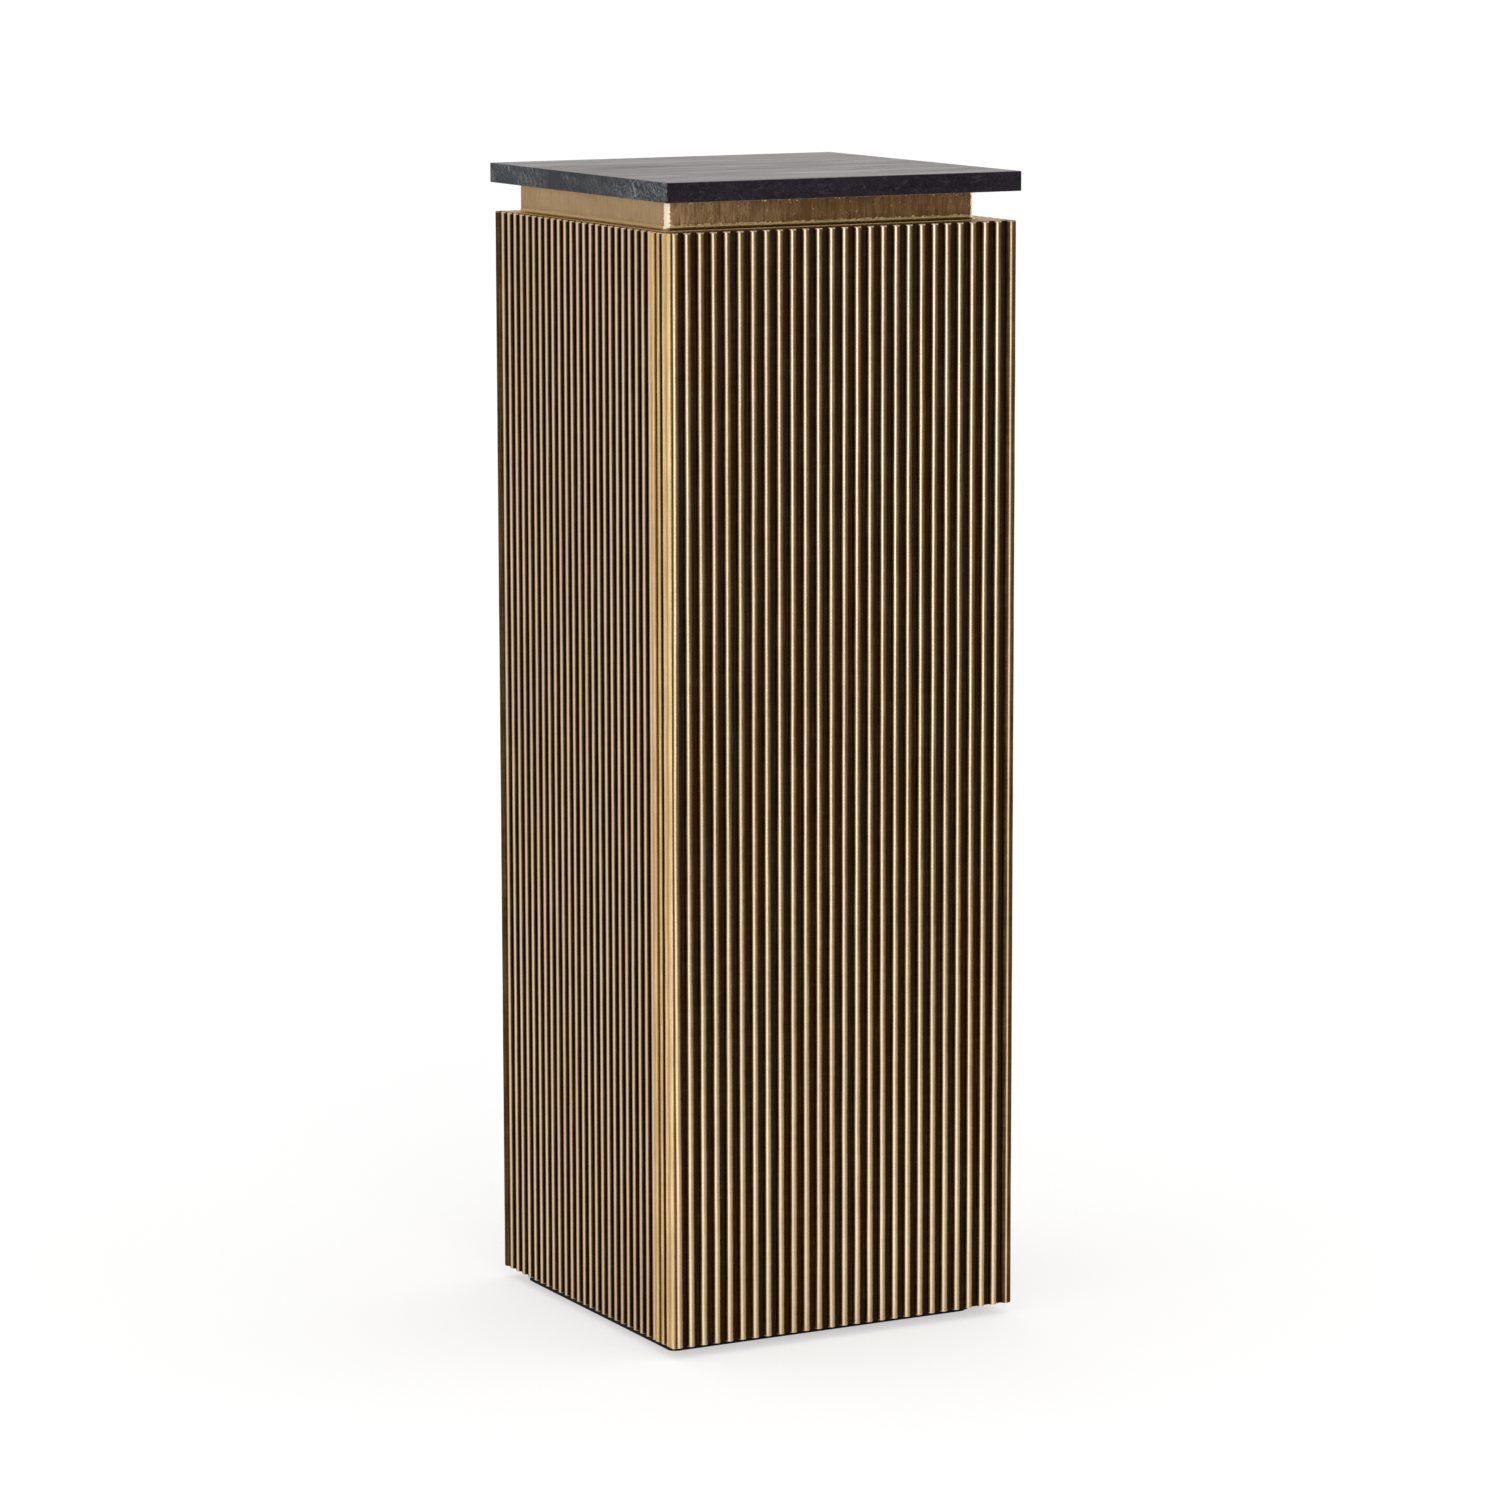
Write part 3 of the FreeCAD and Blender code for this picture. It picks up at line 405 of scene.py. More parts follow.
def silicone(name):
    """Cloudy pale adhesive."""
    shader = Shader(name, Metallic=0.0)
    cloud = shader.noise(shader.coords((90.0, 90.0, 90.0)), 3.0, 0.5)
    colour = shader.mix(cloud, (0.52, 0.52, 0.50), (0.68, 0.68, 0.65))
    rough = shader.remap(cloud, 0.3, 0.7, 0.28, 0.42)
    return shader.finish(colour, rough, shader.bump(cloud, 0.3, 0.0006))


def nail_steel(name):
    """Drawn steel wire with light rust on the heads."""
    shader = Shader(name, Metallic=1.0)
    drawn = shader.noise(shader.coords((900.0, 900.0, 900.0)), 3.0, 0.6)
    rust = shader.noise(shader.coords((240.0, 240.0, 240.0)), 4.0, 0.7)
    colour = shader.mix(shader.remap(rust, 0.55, 0.75), (0.48, 0.47, 0.46), (0.22, 0.10, 0.05))
    rough = shader.remap(rust, 0.4, 0.75, 0.32, 0.75)
    return shader.finish(colour, rough, shader.bump(drawn, 0.2, 0.0002))


# The neck's sides are lit and shaded copies of one bronze. The lit tone is on the left and back.
# Painted shade darkens the front towards its right end, and darkens the right side towards its
# front.
NECK_LIT_TONE = (0.42, 0.290, 0.175)
NECK_SHADED_TONE = (0.165, 0.093, 0.040)
LEDGE_TONE = (0.41, 0.325, 0.215)

# Polished tones for the top, middle and foot of the column; the bright foot tones are a painted
# highlight.
RIB_BRASS = ribbed_brass("rib_brass", (0.70, 0.645, 0.520), (0.77, 0.675, 0.470),
                         (0.97, 0.800, 0.530))
# The left face's copy of the rib brass, pinker and with grooves half as bright: painted shade for
# the side that faces away from the lamp.
RIB_BRASS_SHADED_SIDE = ribbed_brass("rib_brass_shaded_side", (0.74, 0.560, 0.430), (0.76, 0.575, 0.425),
                       (0.78, 0.590, 0.420), deep=0.50)
BEAD_BRASS = ribbed_brass("bead_brass", (0.80, 0.690, 0.500), (0.84, 0.690, 0.460),
                          (0.96, 0.770, 0.500), grain=0.20)
NECK_LIT_SIDES = bronzed_brass("neck_lit_sides", NECK_LIT_TONE, NECK_LIT_TONE, (0.24, 0.150, 0.072), streaky=0.40)
NECK_SHADED_FRONT = bronzed_brass("neck_shaded_front", (0.36, 0.225, 0.115), NECK_SHADED_TONE,
                            (0.060, 0.030, 0.011), streaky=0.75, reach=(-0.145, -0.02))
NECK_SHADE_TURN = bronzed_brass("neck_shade_turning", NECK_SHADED_TONE, NECK_LIT_TONE, (0.10, 0.056, 0.024), axis=1)
LEDGE_BRASS = bronzed_brass("ledge_brass", LEDGE_TONE, LEDGE_TONE, (0.24, 0.15, 0.07))
HONED_TOP = black_marble("honed_marble", (0.063, 0.049, 0.044), (0.105, 0.086, 0.078),
                         shine=0.19, veined=0.10, streaked=0.30, level=0.33)
# The sawn edges are lit and shaded copies of one marble. Painted shade makes the front and back
# edges darker, and the left and right edges are lighter and carry the veins.
SAWN_EDGE_SHADED = black_marble("marble_edge_shaded", (0.009, 0.006, 0.010), (0.016, 0.011, 0.017),
                          shine=0.34, veined=0.07, streaked=0.0, level=0.05)
SAWN_EDGE_LIT_VEINED = black_marble("marble_edge_lit_veined", (0.009, 0.010, 0.012), (0.022, 0.024, 0.029),
                         shine=0.36, veined=1.0, streaked=0.0, level=0.11)

# what keeps its CAD shape
CAD_MATERIALS = (
    (LEDGE_BRASS, ("ledge_plate",)),
    (pressed_board("core_fibreboard"), (
        "front_board", "back_board", "left_board", "right_board", "top_board", "bottom_board",
        "middle_board", "neck_block")),
    (sawn_pine("batten_pine"), (
        "batten_front_left", "batten_front_right", "batten_back_left", "batten_back_right")),
    (black_paint("plinth_paint"), ("plinth_board",)),
    (mat_rubber("foam_rubber"), ("base_mat",)),
    (silicone("clear_silicone"), ("slab_adhesive",)),
    (nail_steel("drawn_steel"), ("frame_nails", "neck_nails", "plinth_nails")),
)
for material, nodes in CAD_MATERIALS:
    for node in nodes:
        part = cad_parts[node]
        part.data.materials.clear()
        part.data.materials.append(material)


# ------------------------------------------------------------------ mesh tools

SAME_PLACE = 1e-6         # points of a wall closer than this are one
METAL_EDGE = 38.0         # faces that meet at more than this keep a sharp edge
STONE_EDGE = 32.0


def new_piece(name, mesh, material, slot, *replaced):
    """Make a mesh a finished object that rides on the one body and stands for CAD nodes."""
    mesh.materials.append(material)
    piece = bpy.data.objects.new(name, mesh)
    bpy.context.scene.collection.objects.link(piece)
    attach(piece, "root")
    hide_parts(*replaced)


def settle(mesh, angle):
    """Turn all faces outwards and smooth everything but the true edges."""
    work = bmesh.new()
    work.from_mesh(mesh)
    bmesh.ops.recalc_face_normals(work, faces=work.faces)
    work.to_mesh(mesh)
    work.free()
    mesh.shade_smooth()
    mesh.set_sharp_from_angle(angle=math.radians(angle))


def clamp(number, limit):
    return max(-limit, min(limit, number))


def waver(z, seed, length, row):
    """Smooth noise up the column, its own for each seed and row."""
    return noise.noise(Vector((seed, z / length, row)))


def swept_piece(name, verts, wall, heights, layers, material, slot, *replaced):
    """Close a swept grid of points against the wall behind it, and finish it as a piece.

    verts holds the rows of the grid from foot to top, in metres. wall gives the place in
    plan behind each column, and heights the foot and the top. layers are the attributes of
    the grid's points, which are 0 on the wall.
    """
    columns = len(wall)
    rows = len(verts) // columns
    first = len(verts)
    backs = []
    back_of = []
    for spot in wall:
        if not backs or math.dist(spot, backs[-1]) > SAME_PLACE:
            backs.append(spot)
        back_of.append(first + len(backs) - 1)
    lift = len(backs)
    verts = verts + [(x * MM, y * MM, z * MM) for z in heights for x, y in backs]

    faces = []
    for row in range(rows - 1):
        for column in range(columns - 1):
            low = row * columns + column
            faces.append((low, low + 1, low + columns + 1, low + columns))
    top = (rows - 1) * columns
    for column in range(columns - 1):
        here, there = back_of[column], back_of[column + 1]
        if here == there:
            faces.append((column + 1, column, here))
            faces.append((top + column, top + column + 1, here + lift))
        else:
            faces.append((column + 1, column, here, there))
            faces.append((top + column, top + column + 1, there + lift, here + lift))
    for low in range(first, first + lift - 1):
        faces.append((low + 1, low, low + lift, low + lift + 1))
    start = [row * columns for row in range(rows)]
    end = [row * columns + columns - 1 for row in range(rows)]
    faces.append([first] + start + [first + lift])
    faces.append([first + 2 * lift - 1] + end[::-1] + [first + lift - 1])

    mesh = bpy.data.meshes.new(name)
    mesh.from_pydata(verts, [], faces)
    mesh.update()
    for attribute, values in layers.items():
        layer = mesh.attributes.new(attribute, "FLOAT", "POINT")
        layer.data.foreach_set("value", values + [0.0] * (len(verts) - first))
    settle(mesh, METAL_EDGE)
    new_piece(name, mesh, material, slot, *replaced)


# -------------------------------------------------------------------- cladding

# Painted highlights at the ends. The brighter values at the foot come in below the first height,
# over the span. The rims of both ends are polished and painted bright as highlights on their
# rounded edges.
FOOT_SHEEN_END = 430.0      # the foot's wear fades in below this height
FOOT_SHEEN_SPAN = 350.0
CAP_TOP = 0.9             # how far the rubbed rim reaches down from the top
CAP_FOOT = 0.5            # and up from the foot

FOOT_ROUNDING = ((0.0, 0.55), (0.12, 0.28), (0.35, 0.08), (0.7, 0.0))      # up, in
TOP_STEPS = (0.8, 0.4, 0.15)
TOP_ROUNDING = 0.12
RING_MARGIN = 6.0
RING_STEP = 15.0
SWELL = (31.0, 3.7)       # length of each waver up the column, and its row of the noise
DRIFT = (47.0, 9.1)
RIPPLE = (13.0, 5.2)
SWELL_SHARE = 0.022       # shares of the rib's radius
RIPPLE_SHARE = 0.010
DRIFT_REACH = 0.16


class Point:
    """One corner of a cladding section in plan.

    gilded and the value of polish and sheen are the attributes of ribbed_brass: patina
    polished off, with painted highlights laid in. low is that value at the foot of the
    column, and cap is polish and painted highlight on the rims of the two ends. A point
    with a centre wavers about it and along the face, and shift moves it in plan by its height.
    """

    def __init__(self, x, y, wear_and_sheen=0.0, low=None, gilded=0.0, cap=0.0, centre=None,
                 along=(0.0, 0.0), seed=0.0, shift=None):
        self.x, self.y = x, y
        self.wear_and_sheen = wear_and_sheen
        self.low = wear_and_sheen if low is None else low
        self.gilded = gilded
        self.cap = cap
        self.centre = centre
        self.along = along
        self.seed = seed
        self.shift = shift

    def worn_and_sheen(self, z):
        """How far the patina is polished off at one height, painted highlight included."""
        share = max(0.0, min(1.0, (FOOT_SHEEN_END - z) / FOOT_SHEEN_SPAN))
        worn_and_sheen = self.wear_and_sheen + (self.low - self.wear_and_sheen) * share
        if z > BODY_HIGH - CAP_TOP or z < BODY_LOW + CAP_FOOT:
            return max(worn_and_sheen, self.cap)
        return worn_and_sheen

    def place(self, z, inset, bevel):
        """Where the point lies at one height, in metres: wavered, rounded and bevelled."""
        x, y = self.x, self.y
        moved = self.shift(z) if self.shift else (0.0, 0.0)
        if self.centre is not None:
            cx, cy = self.centre
            reach = math.hypot(x - cx, y - cy)
            swell = SWELL_SHARE * waver(z, self.seed, *SWELL)
            ripple = RIPPLE_SHARE * waver(z, self.seed, *RIPPLE)
            drift = waver(z, self.seed, *DRIFT)
            grown = 1.0 + (swell + ripple) - inset / reach
            x = cx + (x - cx) * grown + self.along[0] * DRIFT_REACH * drift
            y = cy + (y - cy) * grown + self.along[1] * DRIFT_REACH * drift
        x += moved[0]
        y += moved[1]
        return clamp(x, HALF - bevel) * MM, clamp(y, HALF - bevel) * MM, z * MM


def section_rings():
    """Heights of the rings of points up the cladding, with each one's rounding and bevel."""
    rings = [(BODY_LOW + up, inset, 0.0) for up, inset in FOOT_ROUNDING]
    low = BODY_LOW + RING_MARGIN
    high = BODY_HIGH - RING_MARGIN
    count = round((high - low) / RING_STEP)
    rings += [(low + (high - low) * index / count, 0.0, 0.0) for index in range(count + 1)]
    rings += [(BODY_HIGH - down, 0.0, END_BEVEL - down) for down in (END_BEVEL, *TOP_STEPS)]
    return rings + [(BODY_HIGH, TOP_ROUNDING, END_BEVEL)]


RINGS = section_rings()


def cladding(name, points, material, slot, *replaced):
    """Sweep a section up the column and close it against the core."""
    verts = []
    wear_and_sheen = []
    gilded = []
    for z, inset, bevel in RINGS:
        for point in points:
            verts.append(point.place(z, inset, bevel))
            wear_and_sheen.append(point.worn_and_sheen(z))
            gilded.append(point.gilded)
    wall = [(clamp(point.x, CORE), clamp(point.y, CORE)) for point in points]
    swept_piece(name, verts, wall, (BODY_LOW, BODY_HIGH), {"wear_and_sheen": wear_and_sheen, "gilded": gilded},
                material, slot, *replaced)


SIDES = {
    # outward, and the direction along the face
    "front": ((0.0, -1.0), (1.0, 0.0)),
    "right": ((1.0, 0.0), (0.0, 1.0)),
    "back": ((0.0, 1.0), (-1.0, 0.0)),
    "left": ((-1.0, 0.0), (0.0, -1.0)),
}


def on_face(side, along, out):
    """Plan place from the distance along a face and the distance out from the core."""
    outward, forward = SIDES[side]
    a = along - HALF
    b = CORE + out
    return outward[0] * b + forward[0] * a, outward[1] * b + forward[1] * a


# How far the patina is rubbed off at angles round a rib, from its crown, with painted
# highlights laid in. The right and back ribs are rubbed evenly about the crown. The
# front and left ribs carry a painted highlight on one flank and a second painted line on
# their far flank, and the bright flanks of the lap and seam ribs are painted highlights
# too. A third number is the value at the foot of the column where that differs, brighter
# there as a painted highlight.
RIB_WEAR_AND_SHEEN = {
    "front": ((-90, 0.08), (-62, 0.13), (-51, 0.18), (-46, 0.26), (-40, 0.62), (-34, 1.02),
              (-24, 1.02), (-17, 0.72, 0.94), (-10, 0.50, 0.82), (-3, 0.42, 0.72),
              (6, 0.37, 0.66), (16, 0.32, 0.60), (28, 0.27, 0.54), (42, 0.20, 0.42),
              (54, 0.12, 0.27), (61, 0.30), (66, 0.95), (80, 0.98), (86, 0.40), (90, 0.1)),
    "right": ((-90, 0.0), (-66, 0.05), (-54, 0.16), (-44, 0.34), (-34, 0.62), (-24, 0.96),
              (-12, 1.0), (0, 0.94), (12, 1.0), (24, 0.96), (34, 0.62), (44, 0.34), (54, 0.16),
              (66, 0.05), (90, 0.0)),
    "left": ((-90, 0.0), (-72, 0.20), (-65, 0.95), (-40, 1.02), (-34, 0.62), (-28, 0.14),
             (-18, 0.15), (-7, 0.30), (2, 0.50), (10, 0.78), (18, 1.06), (26, 1.06), (32, 0.94),
             (38, 0.70), (44, 0.46), (51, 0.28), (58, 0.15), (66, 0.08), (78, 0.02), (90, 0.0)),
    "lap": ((-90, 0.0), (-58, 0.05), (-46, 0.30), (-36, 0.72), (-26, 1.00), (-14, 0.80),
            (0, 0.74), (12, 0.84), (24, 1.00), (34, 1.02), (44, 0.62), (54, 0.36), (66, 0.26),
            (90, 0.20)),
    "seam": ((-90, 0.0), (-54, 0.10), (-40, 0.45), (-28, 0.95), (-14, 0.98), (0, 0.78),
             (14, 0.80), (26, 0.96), (35, 0.62), (43, 0.22), (52, 0.04), (72, 0.0), (90, 0.0)),
}
RIB_WEAR_AND_SHEEN["back"] = RIB_WEAR_AND_SHEEN["right"]
# Each rib's patina and painted highlight lean a little to one side or the other.
RIB_LEAN = 2.5            # each rib is rubbed a little to one side or the other
RIB_CAP = 0.92


def rib(side, middle, radius, seed, first=-90, shift=None, gilded=0.0, wear_and_sheen_table=None):
    """Half-round rib standing on the sheet, or the part of it from one angle on."""
    centre = on_face(side, middle, SHEET)
    lean = RIB_LEAN * noise.noise(Vector((seed, 1.3, 8.8)))
    result = []
    for degrees, worn_and_sheen, *low in RIB_WEAR_AND_SHEEN[wear_and_sheen_table or side]:
        if degrees < first:
            continue
        angle = math.radians(degrees + lean * math.cos(math.radians(degrees)))
        spot = on_face(side, middle + radius * math.sin(angle), SHEET + radius * math.cos(angle))
        cap = RIB_CAP * max(0.0, math.cos(angle)) ** 0.5
        result.append(Point(*spot, worn_and_sheen, *low, gilded=gilded, cap=cap, centre=centre,
                            along=SIDES[side][1], seed=seed, shift=shift))
    return result


def flat(side, along):
    return Point(*on_face(side, along, SHEET))


SEED_STEP = 3.1           # from one rib's seed to the next
LAP_GILT = 0.8


def panel(side, end, ribs, seed):
    """Section of one sheet: flats between half-round ribs, given by middle and radius."""
    points = [flat(side, PITCH)]
    for index, (middle, radius) in enumerate(ribs):
        if index:
            before = ribs[index - 1]
            foot = before[0] + before[1]
            points.append(flat(side, (foot + middle - radius) / 2))
        lap = radius > RIB_RADIUS
        points += rib(side, middle, radius, seed + SEED_STEP * index,
                      gilded=LAP_GILT if lap else 0.0, wear_and_sheen_table="lap" if lap else side)
    points.append(flat(side, end))
    return points


BEAD_STEPS = 36
# Brown patina between the bead's painted highlight lines.
BEAD_WEAR = 0.16          # wear between the rubbed lines
BEAD_CAP = 0.50
BEAD_GILT = 0.2
LINE_WIDTH = 8.0
LEG_FADE = 7.0            # how fast the wear comes in from the bead's legs


def bead(corner, seed, lines):
    """Three-quarter-round bead on its two legs, from one face's sheet to the other's.

    It is brown with narrow painted highlight lines at the given angles: 0 faces the first
    side and 90 the second.
    """
    side, following = corner
    out_a = SIDES[side][0]
    out_b = SIDES[following][0]
    centre = (out_a[0] * CORE + out_b[0] * CORE, out_a[1] * CORE + out_b[1] * CORE)
    dip = math.degrees(math.asin(SHEET / DEPTH))
    start = dip - 90.0
    end = 180.0 - dip
    points = [flat(side, FACE_LENGTH - PITCH)]
    for index in range(BEAD_STEPS + 1):
        degrees = start + (end - start) * index / BEAD_STEPS
        angle = math.radians(degrees)
        x = centre[0] + DEPTH * (out_a[0] * math.cos(angle) + out_b[0] * math.sin(angle))
        y = centre[1] + DEPTH * (out_a[1] * math.cos(angle) + out_b[1] * math.sin(angle))
        foot = min(1.0, LEG_FADE * min(index, BEAD_STEPS - index) / BEAD_STEPS)
        line = max(math.exp(-((degrees - middle) / LINE_WIDTH) ** 2) for middle in lines)
        worn_and_sheen = foot * (BEAD_WEAR + (1.0 - BEAD_WEAR) * line)
        points.append(Point(x, y, worn_and_sheen, gilded=BEAD_GILT, cap=BEAD_CAP * foot, centre=centre,
                            seed=seed))
    return points + [flat(following, PITCH)]


# The near corner: the left leg ends in a smooth band that turns the corner, and a narrow rib
# stands beside it on the front. Places are from the ideal corner, x along the front and y
# along the left face.
CORNER_RIB = 6.3
CORNER_HEART = 6.0
SHOULDER = (2.75, 10.8, 2.5)         # middle and radius of the band's far edge
TURN = (1.7, 2.0, 1.5)               # and of its turn on to the front
BAND_DEPTH = 0.25                    # the band's face from the plane of the crowns
BAND_WAVE = 0.16
BAND_WAVE_LENGTH = 60.0
# shifts by height: sway of the corner's edge and rib, and the notch beside the rib
CORNER_SWAY = ((9.4, 0.40), (59.0, 0.30), (129.0, 0.30), (222.0, -0.36), (315.0, -0.45),
               (408.0, -0.90), (535.0, -0.45), (663.0, 0.0), (875.9, 0.0))
NOTCH_SINK = ((9.4, 1.9), (27.0, 1.7), (33.0, 0.1), (129.0, 0.0), (408.0, -0.45), (600.0, -0.20),
              (700.0, 0.0), (875.9, 0.15))
NOTCH_SLIP = ((9.4, -1.55), (27.0, -1.5), (33.0, -0.1), (129.0, 0.0), (875.9, 0.0))


def between(table, z):
    """Value at one height, straight between the entries of a table."""
    for (low, first), (high, second) in zip(table, table[1:]):
        if z <= high:
            return first + (second - first) * max(0.0, z - low) / (high - low)
    return table[-1][1]


def sway(z):
    return between(CORNER_SWAY, z), 0.0


def notch(z):
    return between(CORNER_SWAY, z) + between(NOTCH_SLIP, z), between(NOTCH_SINK, z)


def band_wave(z):
    """The band's face bows in and out a little along its length."""
    bow = noise.noise(Vector((z / BAND_WAVE_LENGTH, 4.4, 2.2)))
    return BAND_WAVE * (0.5 + bow), 0.0


def near_corner():
    """Section of the corner from the seam on the left face to the first flat of the front."""
    corner = Vector((-HALF, -HALF))
    heart = (-HALF + CORNER_HEART, -HALF + CORNER_HEART)
    points = [flat("left", FACE_LENGTH - SEAM_EDGE)]
    points += rib("left", FACE_LENGTH - SEAM_RIB, RIB_RADIUS, 210.0, gilded=0.5, wear_and_sheen_table="seam")

    def add(x, y, worn_and_sheen, gilded=0.85, cap=0.0, shift=None):
        points.append(Point(corner.x + x, corner.y + y, worn_and_sheen, gilded=gilded, cap=cap,
                            centre=heart, seed=221.0, shift=shift))

    add(3.5, 14.4, 0.0)
    add(3.2, 13.5, 0.04)
    x, y, radius = SHOULDER
    for degrees, worn_and_sheen in ((78, 0.0), (56, 0.04), (34, 0.26), (14, 0.78)):
        angle = math.radians(degrees)
        add(x - radius * math.cos(angle), y + radius * math.sin(angle), worn_and_sheen, 0.2, 0.9)
    for y, worn_and_sheen, gilded in ((10.0, 0.94, 0.2), (8.4, 0.86, 0.5), (6.6, 0.78, 1.0),
                            (4.9, 0.68, 1.0), (3.4, 0.86, 0.8)):
        add(BAND_DEPTH, y, worn_and_sheen, gilded, 0.9, band_wave)
    # The high values round the band's turn on to the front are a painted highlight on the shoulder
    # as well as polish.
    x, y, radius = TURN
    for degrees, worn_and_sheen in ((6, 1.0), (30, 1.04), (52, 1.04), (72, 0.80), (88, 0.52)):
        angle = math.radians(degrees)
        add(x - radius * math.cos(angle), y - radius * math.sin(angle), worn_and_sheen, 0.45, 0.9)
    add(2.65, 0.72, 0.42, shift=sway)
    add(3.48, 1.22, 0.30, shift=notch)
    add(3.62, 1.26, 0.30, shift=notch)
    points += rib("front", CORNER_RIB, RIB_RADIUS, 216.0, first=-50, shift=sway)
    points.append(flat("front", PITCH))
    return points


def clad_column():
    """The four sheets and the four corners."""
    ribs = [((index + 0.5) * PITCH, RIB_RADIUS) for index in range(1, FACE_RIBS + 1)]
    for number, side in enumerate(("front", "right", "back")):
        section = panel(side, FACE_LENGTH - PITCH, ribs, 40.0 * number + 1.5)
        cladding(f"{side}_cladding", section, RIB_BRASS, "antique_brass", f"{side}_panel")

    step = (LAST_RIB - FIRST_RIB) / (SEAM_RIBS - 1)
    seam_ribs = [(LAP_RIB, LAP_RADIUS)]
    seam_ribs += [(FIRST_RIB + step * index, RIB_RADIUS) for index in range(SEAM_RIBS)]
    mirrored = [(FACE_LENGTH - middle, radius) for middle, radius in reversed(seam_ribs)]
    section = panel("left", FACE_LENGTH - SEAM_START, mirrored, 161.5)
    cladding("left_cladding", section, RIB_BRASS_SHADED_SIDE, "antique_brass", "left_panel")

    cladding("seam_corner", near_corner(), BEAD_BRASS, "bead_brass", "corner_bead_front_left")
    # Angles of each bead's painted highlight lines.
    for name, corner, lines, node in (
        ("near_right_corner", ("front", "right"), (-14.0, 104.0), "corner_bead_front_right"),
        ("far_right_corner", ("right", "back"), (-14.0, 104.0), "corner_bead_back_right"),
        ("far_left_corner", ("back", "left"), (-14.0, 57.0), "corner_bead_back_left"),
    ):
        section = bead(corner, 230.0 + 7.7 * len(name), lines)
        cladding(name, section, BEAD_BRASS, "bead_brass", node)


clad_column()


# ------------------------------------------------------------------------ neck

COVE_EDGE = 0.12          # eased edge of the lip under the cove
COVE_STEPS = 8
WALL_ROWS = 5             # rows of points from the cove up to the slab
TURN_STEPS = 12           # points round a corner, half of them on each moulding
WALL_STEPS = 22           # points along a moulding
# The neck's corners carry a painted highlight; the next number sets how fast it comes in round a
# corner.
CORNER_SHEEN = 7.0         # how fast the wear comes in round a corner
DENT = 0.10
DENT_LENGTH = 17.0
DENT_HEIGHT = 9.0


def neck_profile():
    """Offset out from the wall and height above the ledge, foot to top."""
    reach = COVE + COVE_LIP
    profile = [(reach, 0.0), (reach, COVE_LIP - COVE_EDGE), (reach - COVE_EDGE, COVE_LIP)]
    for index in range(COVE_STEPS + 1):
        angle = math.pi / 2 * index / COVE_STEPS
        profile.append((COVE * (1.0 - math.sin(angle)), COVE_LIP + COVE * (1.0 - math.cos(angle))))
    high = SLAB_LOW - BODY_HIGH
    low = COVE_LIP + COVE
    for index in range(1, WALL_ROWS + 1):
        profile.append((0.0, low + (high - low) * index / WALL_ROWS))
    return profile


def neck_outline():
    """Each side's places round the neck: corner centre or place along it, and direction out."""
    left, right, front, back = NECK
    r = NECK_CORNER
    corners = [
        ((right - r, front + r), -90.0, "front", "right"),
        ((right - r, back - r), 0.0, "right", "back"),
        ((left + r, back - r), 90.0, "back", "left"),
        ((left + r, front + r), 180.0, "left", "front"),
    ]
    starts = {side: [] for side in SIDES}
    ends = {side: [] for side in SIDES}
    for centre, turn, before, after in corners:
        for index in range(TURN_STEPS + 1):
            angle = math.radians(turn + 90.0 * index / TURN_STEPS)
            spot = (centre, (math.cos(angle), math.sin(angle)))
            if index <= TURN_STEPS // 2:
                ends[before].append(spot)
            if index >= TURN_STEPS // 2:
                starts[after].append(spot)
    outline = {}
    for side in SIDES:
        (ax, ay), direction = starts[side][-1]
        bx, by = ends[side][0][0]
        shares = [index / WALL_STEPS for index in range(1, WALL_STEPS)]
        straight = [((ax + (bx - ax) * share, ay + (by - ay) * share), direction)
                    for share in shares]
        outline[side] = starts[side] + straight + ends[side]
    return outline


def neck_side(side, spots):
    """One mitred moulding, hollowed to the block inside it."""
    left, right, front, back = NECK
    r = NECK_CORNER
    outward = SIDES[side][0]
    verts = []
    wear_and_sheen = []
    for out, up in neck_profile():
        for (cx, cy), (dx, dy) in spots:
            # Painted highlight round each corner, on the wall above the cove lip.
            turned = 1.0 - (dx * outward[0] + dy * outward[1])
            wear_and_sheen.append(min(1.0, turned * CORNER_SHEEN) if up > COVE_LIP else 0.0)
            x, y, z = cx + dx * (r + out), cy + dy * (r + out), BODY_HIGH + up
            if 0.0 < up < SLAB_LOW - BODY_HIGH - 0.1:
                spot = Vector((x / DENT_LENGTH, y / DENT_LENGTH, z / DENT_HEIGHT))
                dent = DENT * noise.noise(spot) - DENT / 2
                x, y = x + dx * dent, y + dy * dent
            verts.append((x * MM, y * MM, z * MM))
    wall = [(max(left + NECK_WALL, min(right - NECK_WALL, cx + dx * r)),
             max(front + NECK_WALL, min(back - NECK_WALL, cy + dy * r)))
            for (cx, cy), (dx, dy) in spots]
    # Painted shade: the front and right mouldings take the shaded copies of the bronze.
    metal = {"front": NECK_SHADED_FRONT, "right": NECK_SHADE_TURN}.get(side, NECK_LIT_SIDES)
    swept_piece(f"{side}_neck", verts, wall, (BODY_HIGH, SLAB_LOW), {"wear_and_sheen": wear_and_sheen}, metal,
                "bronzed_brass", f"neck_{side}")


for side, spots in neck_outline().items():
    neck_side(side, spots)


# ------------------------------------------------------------------------ slab

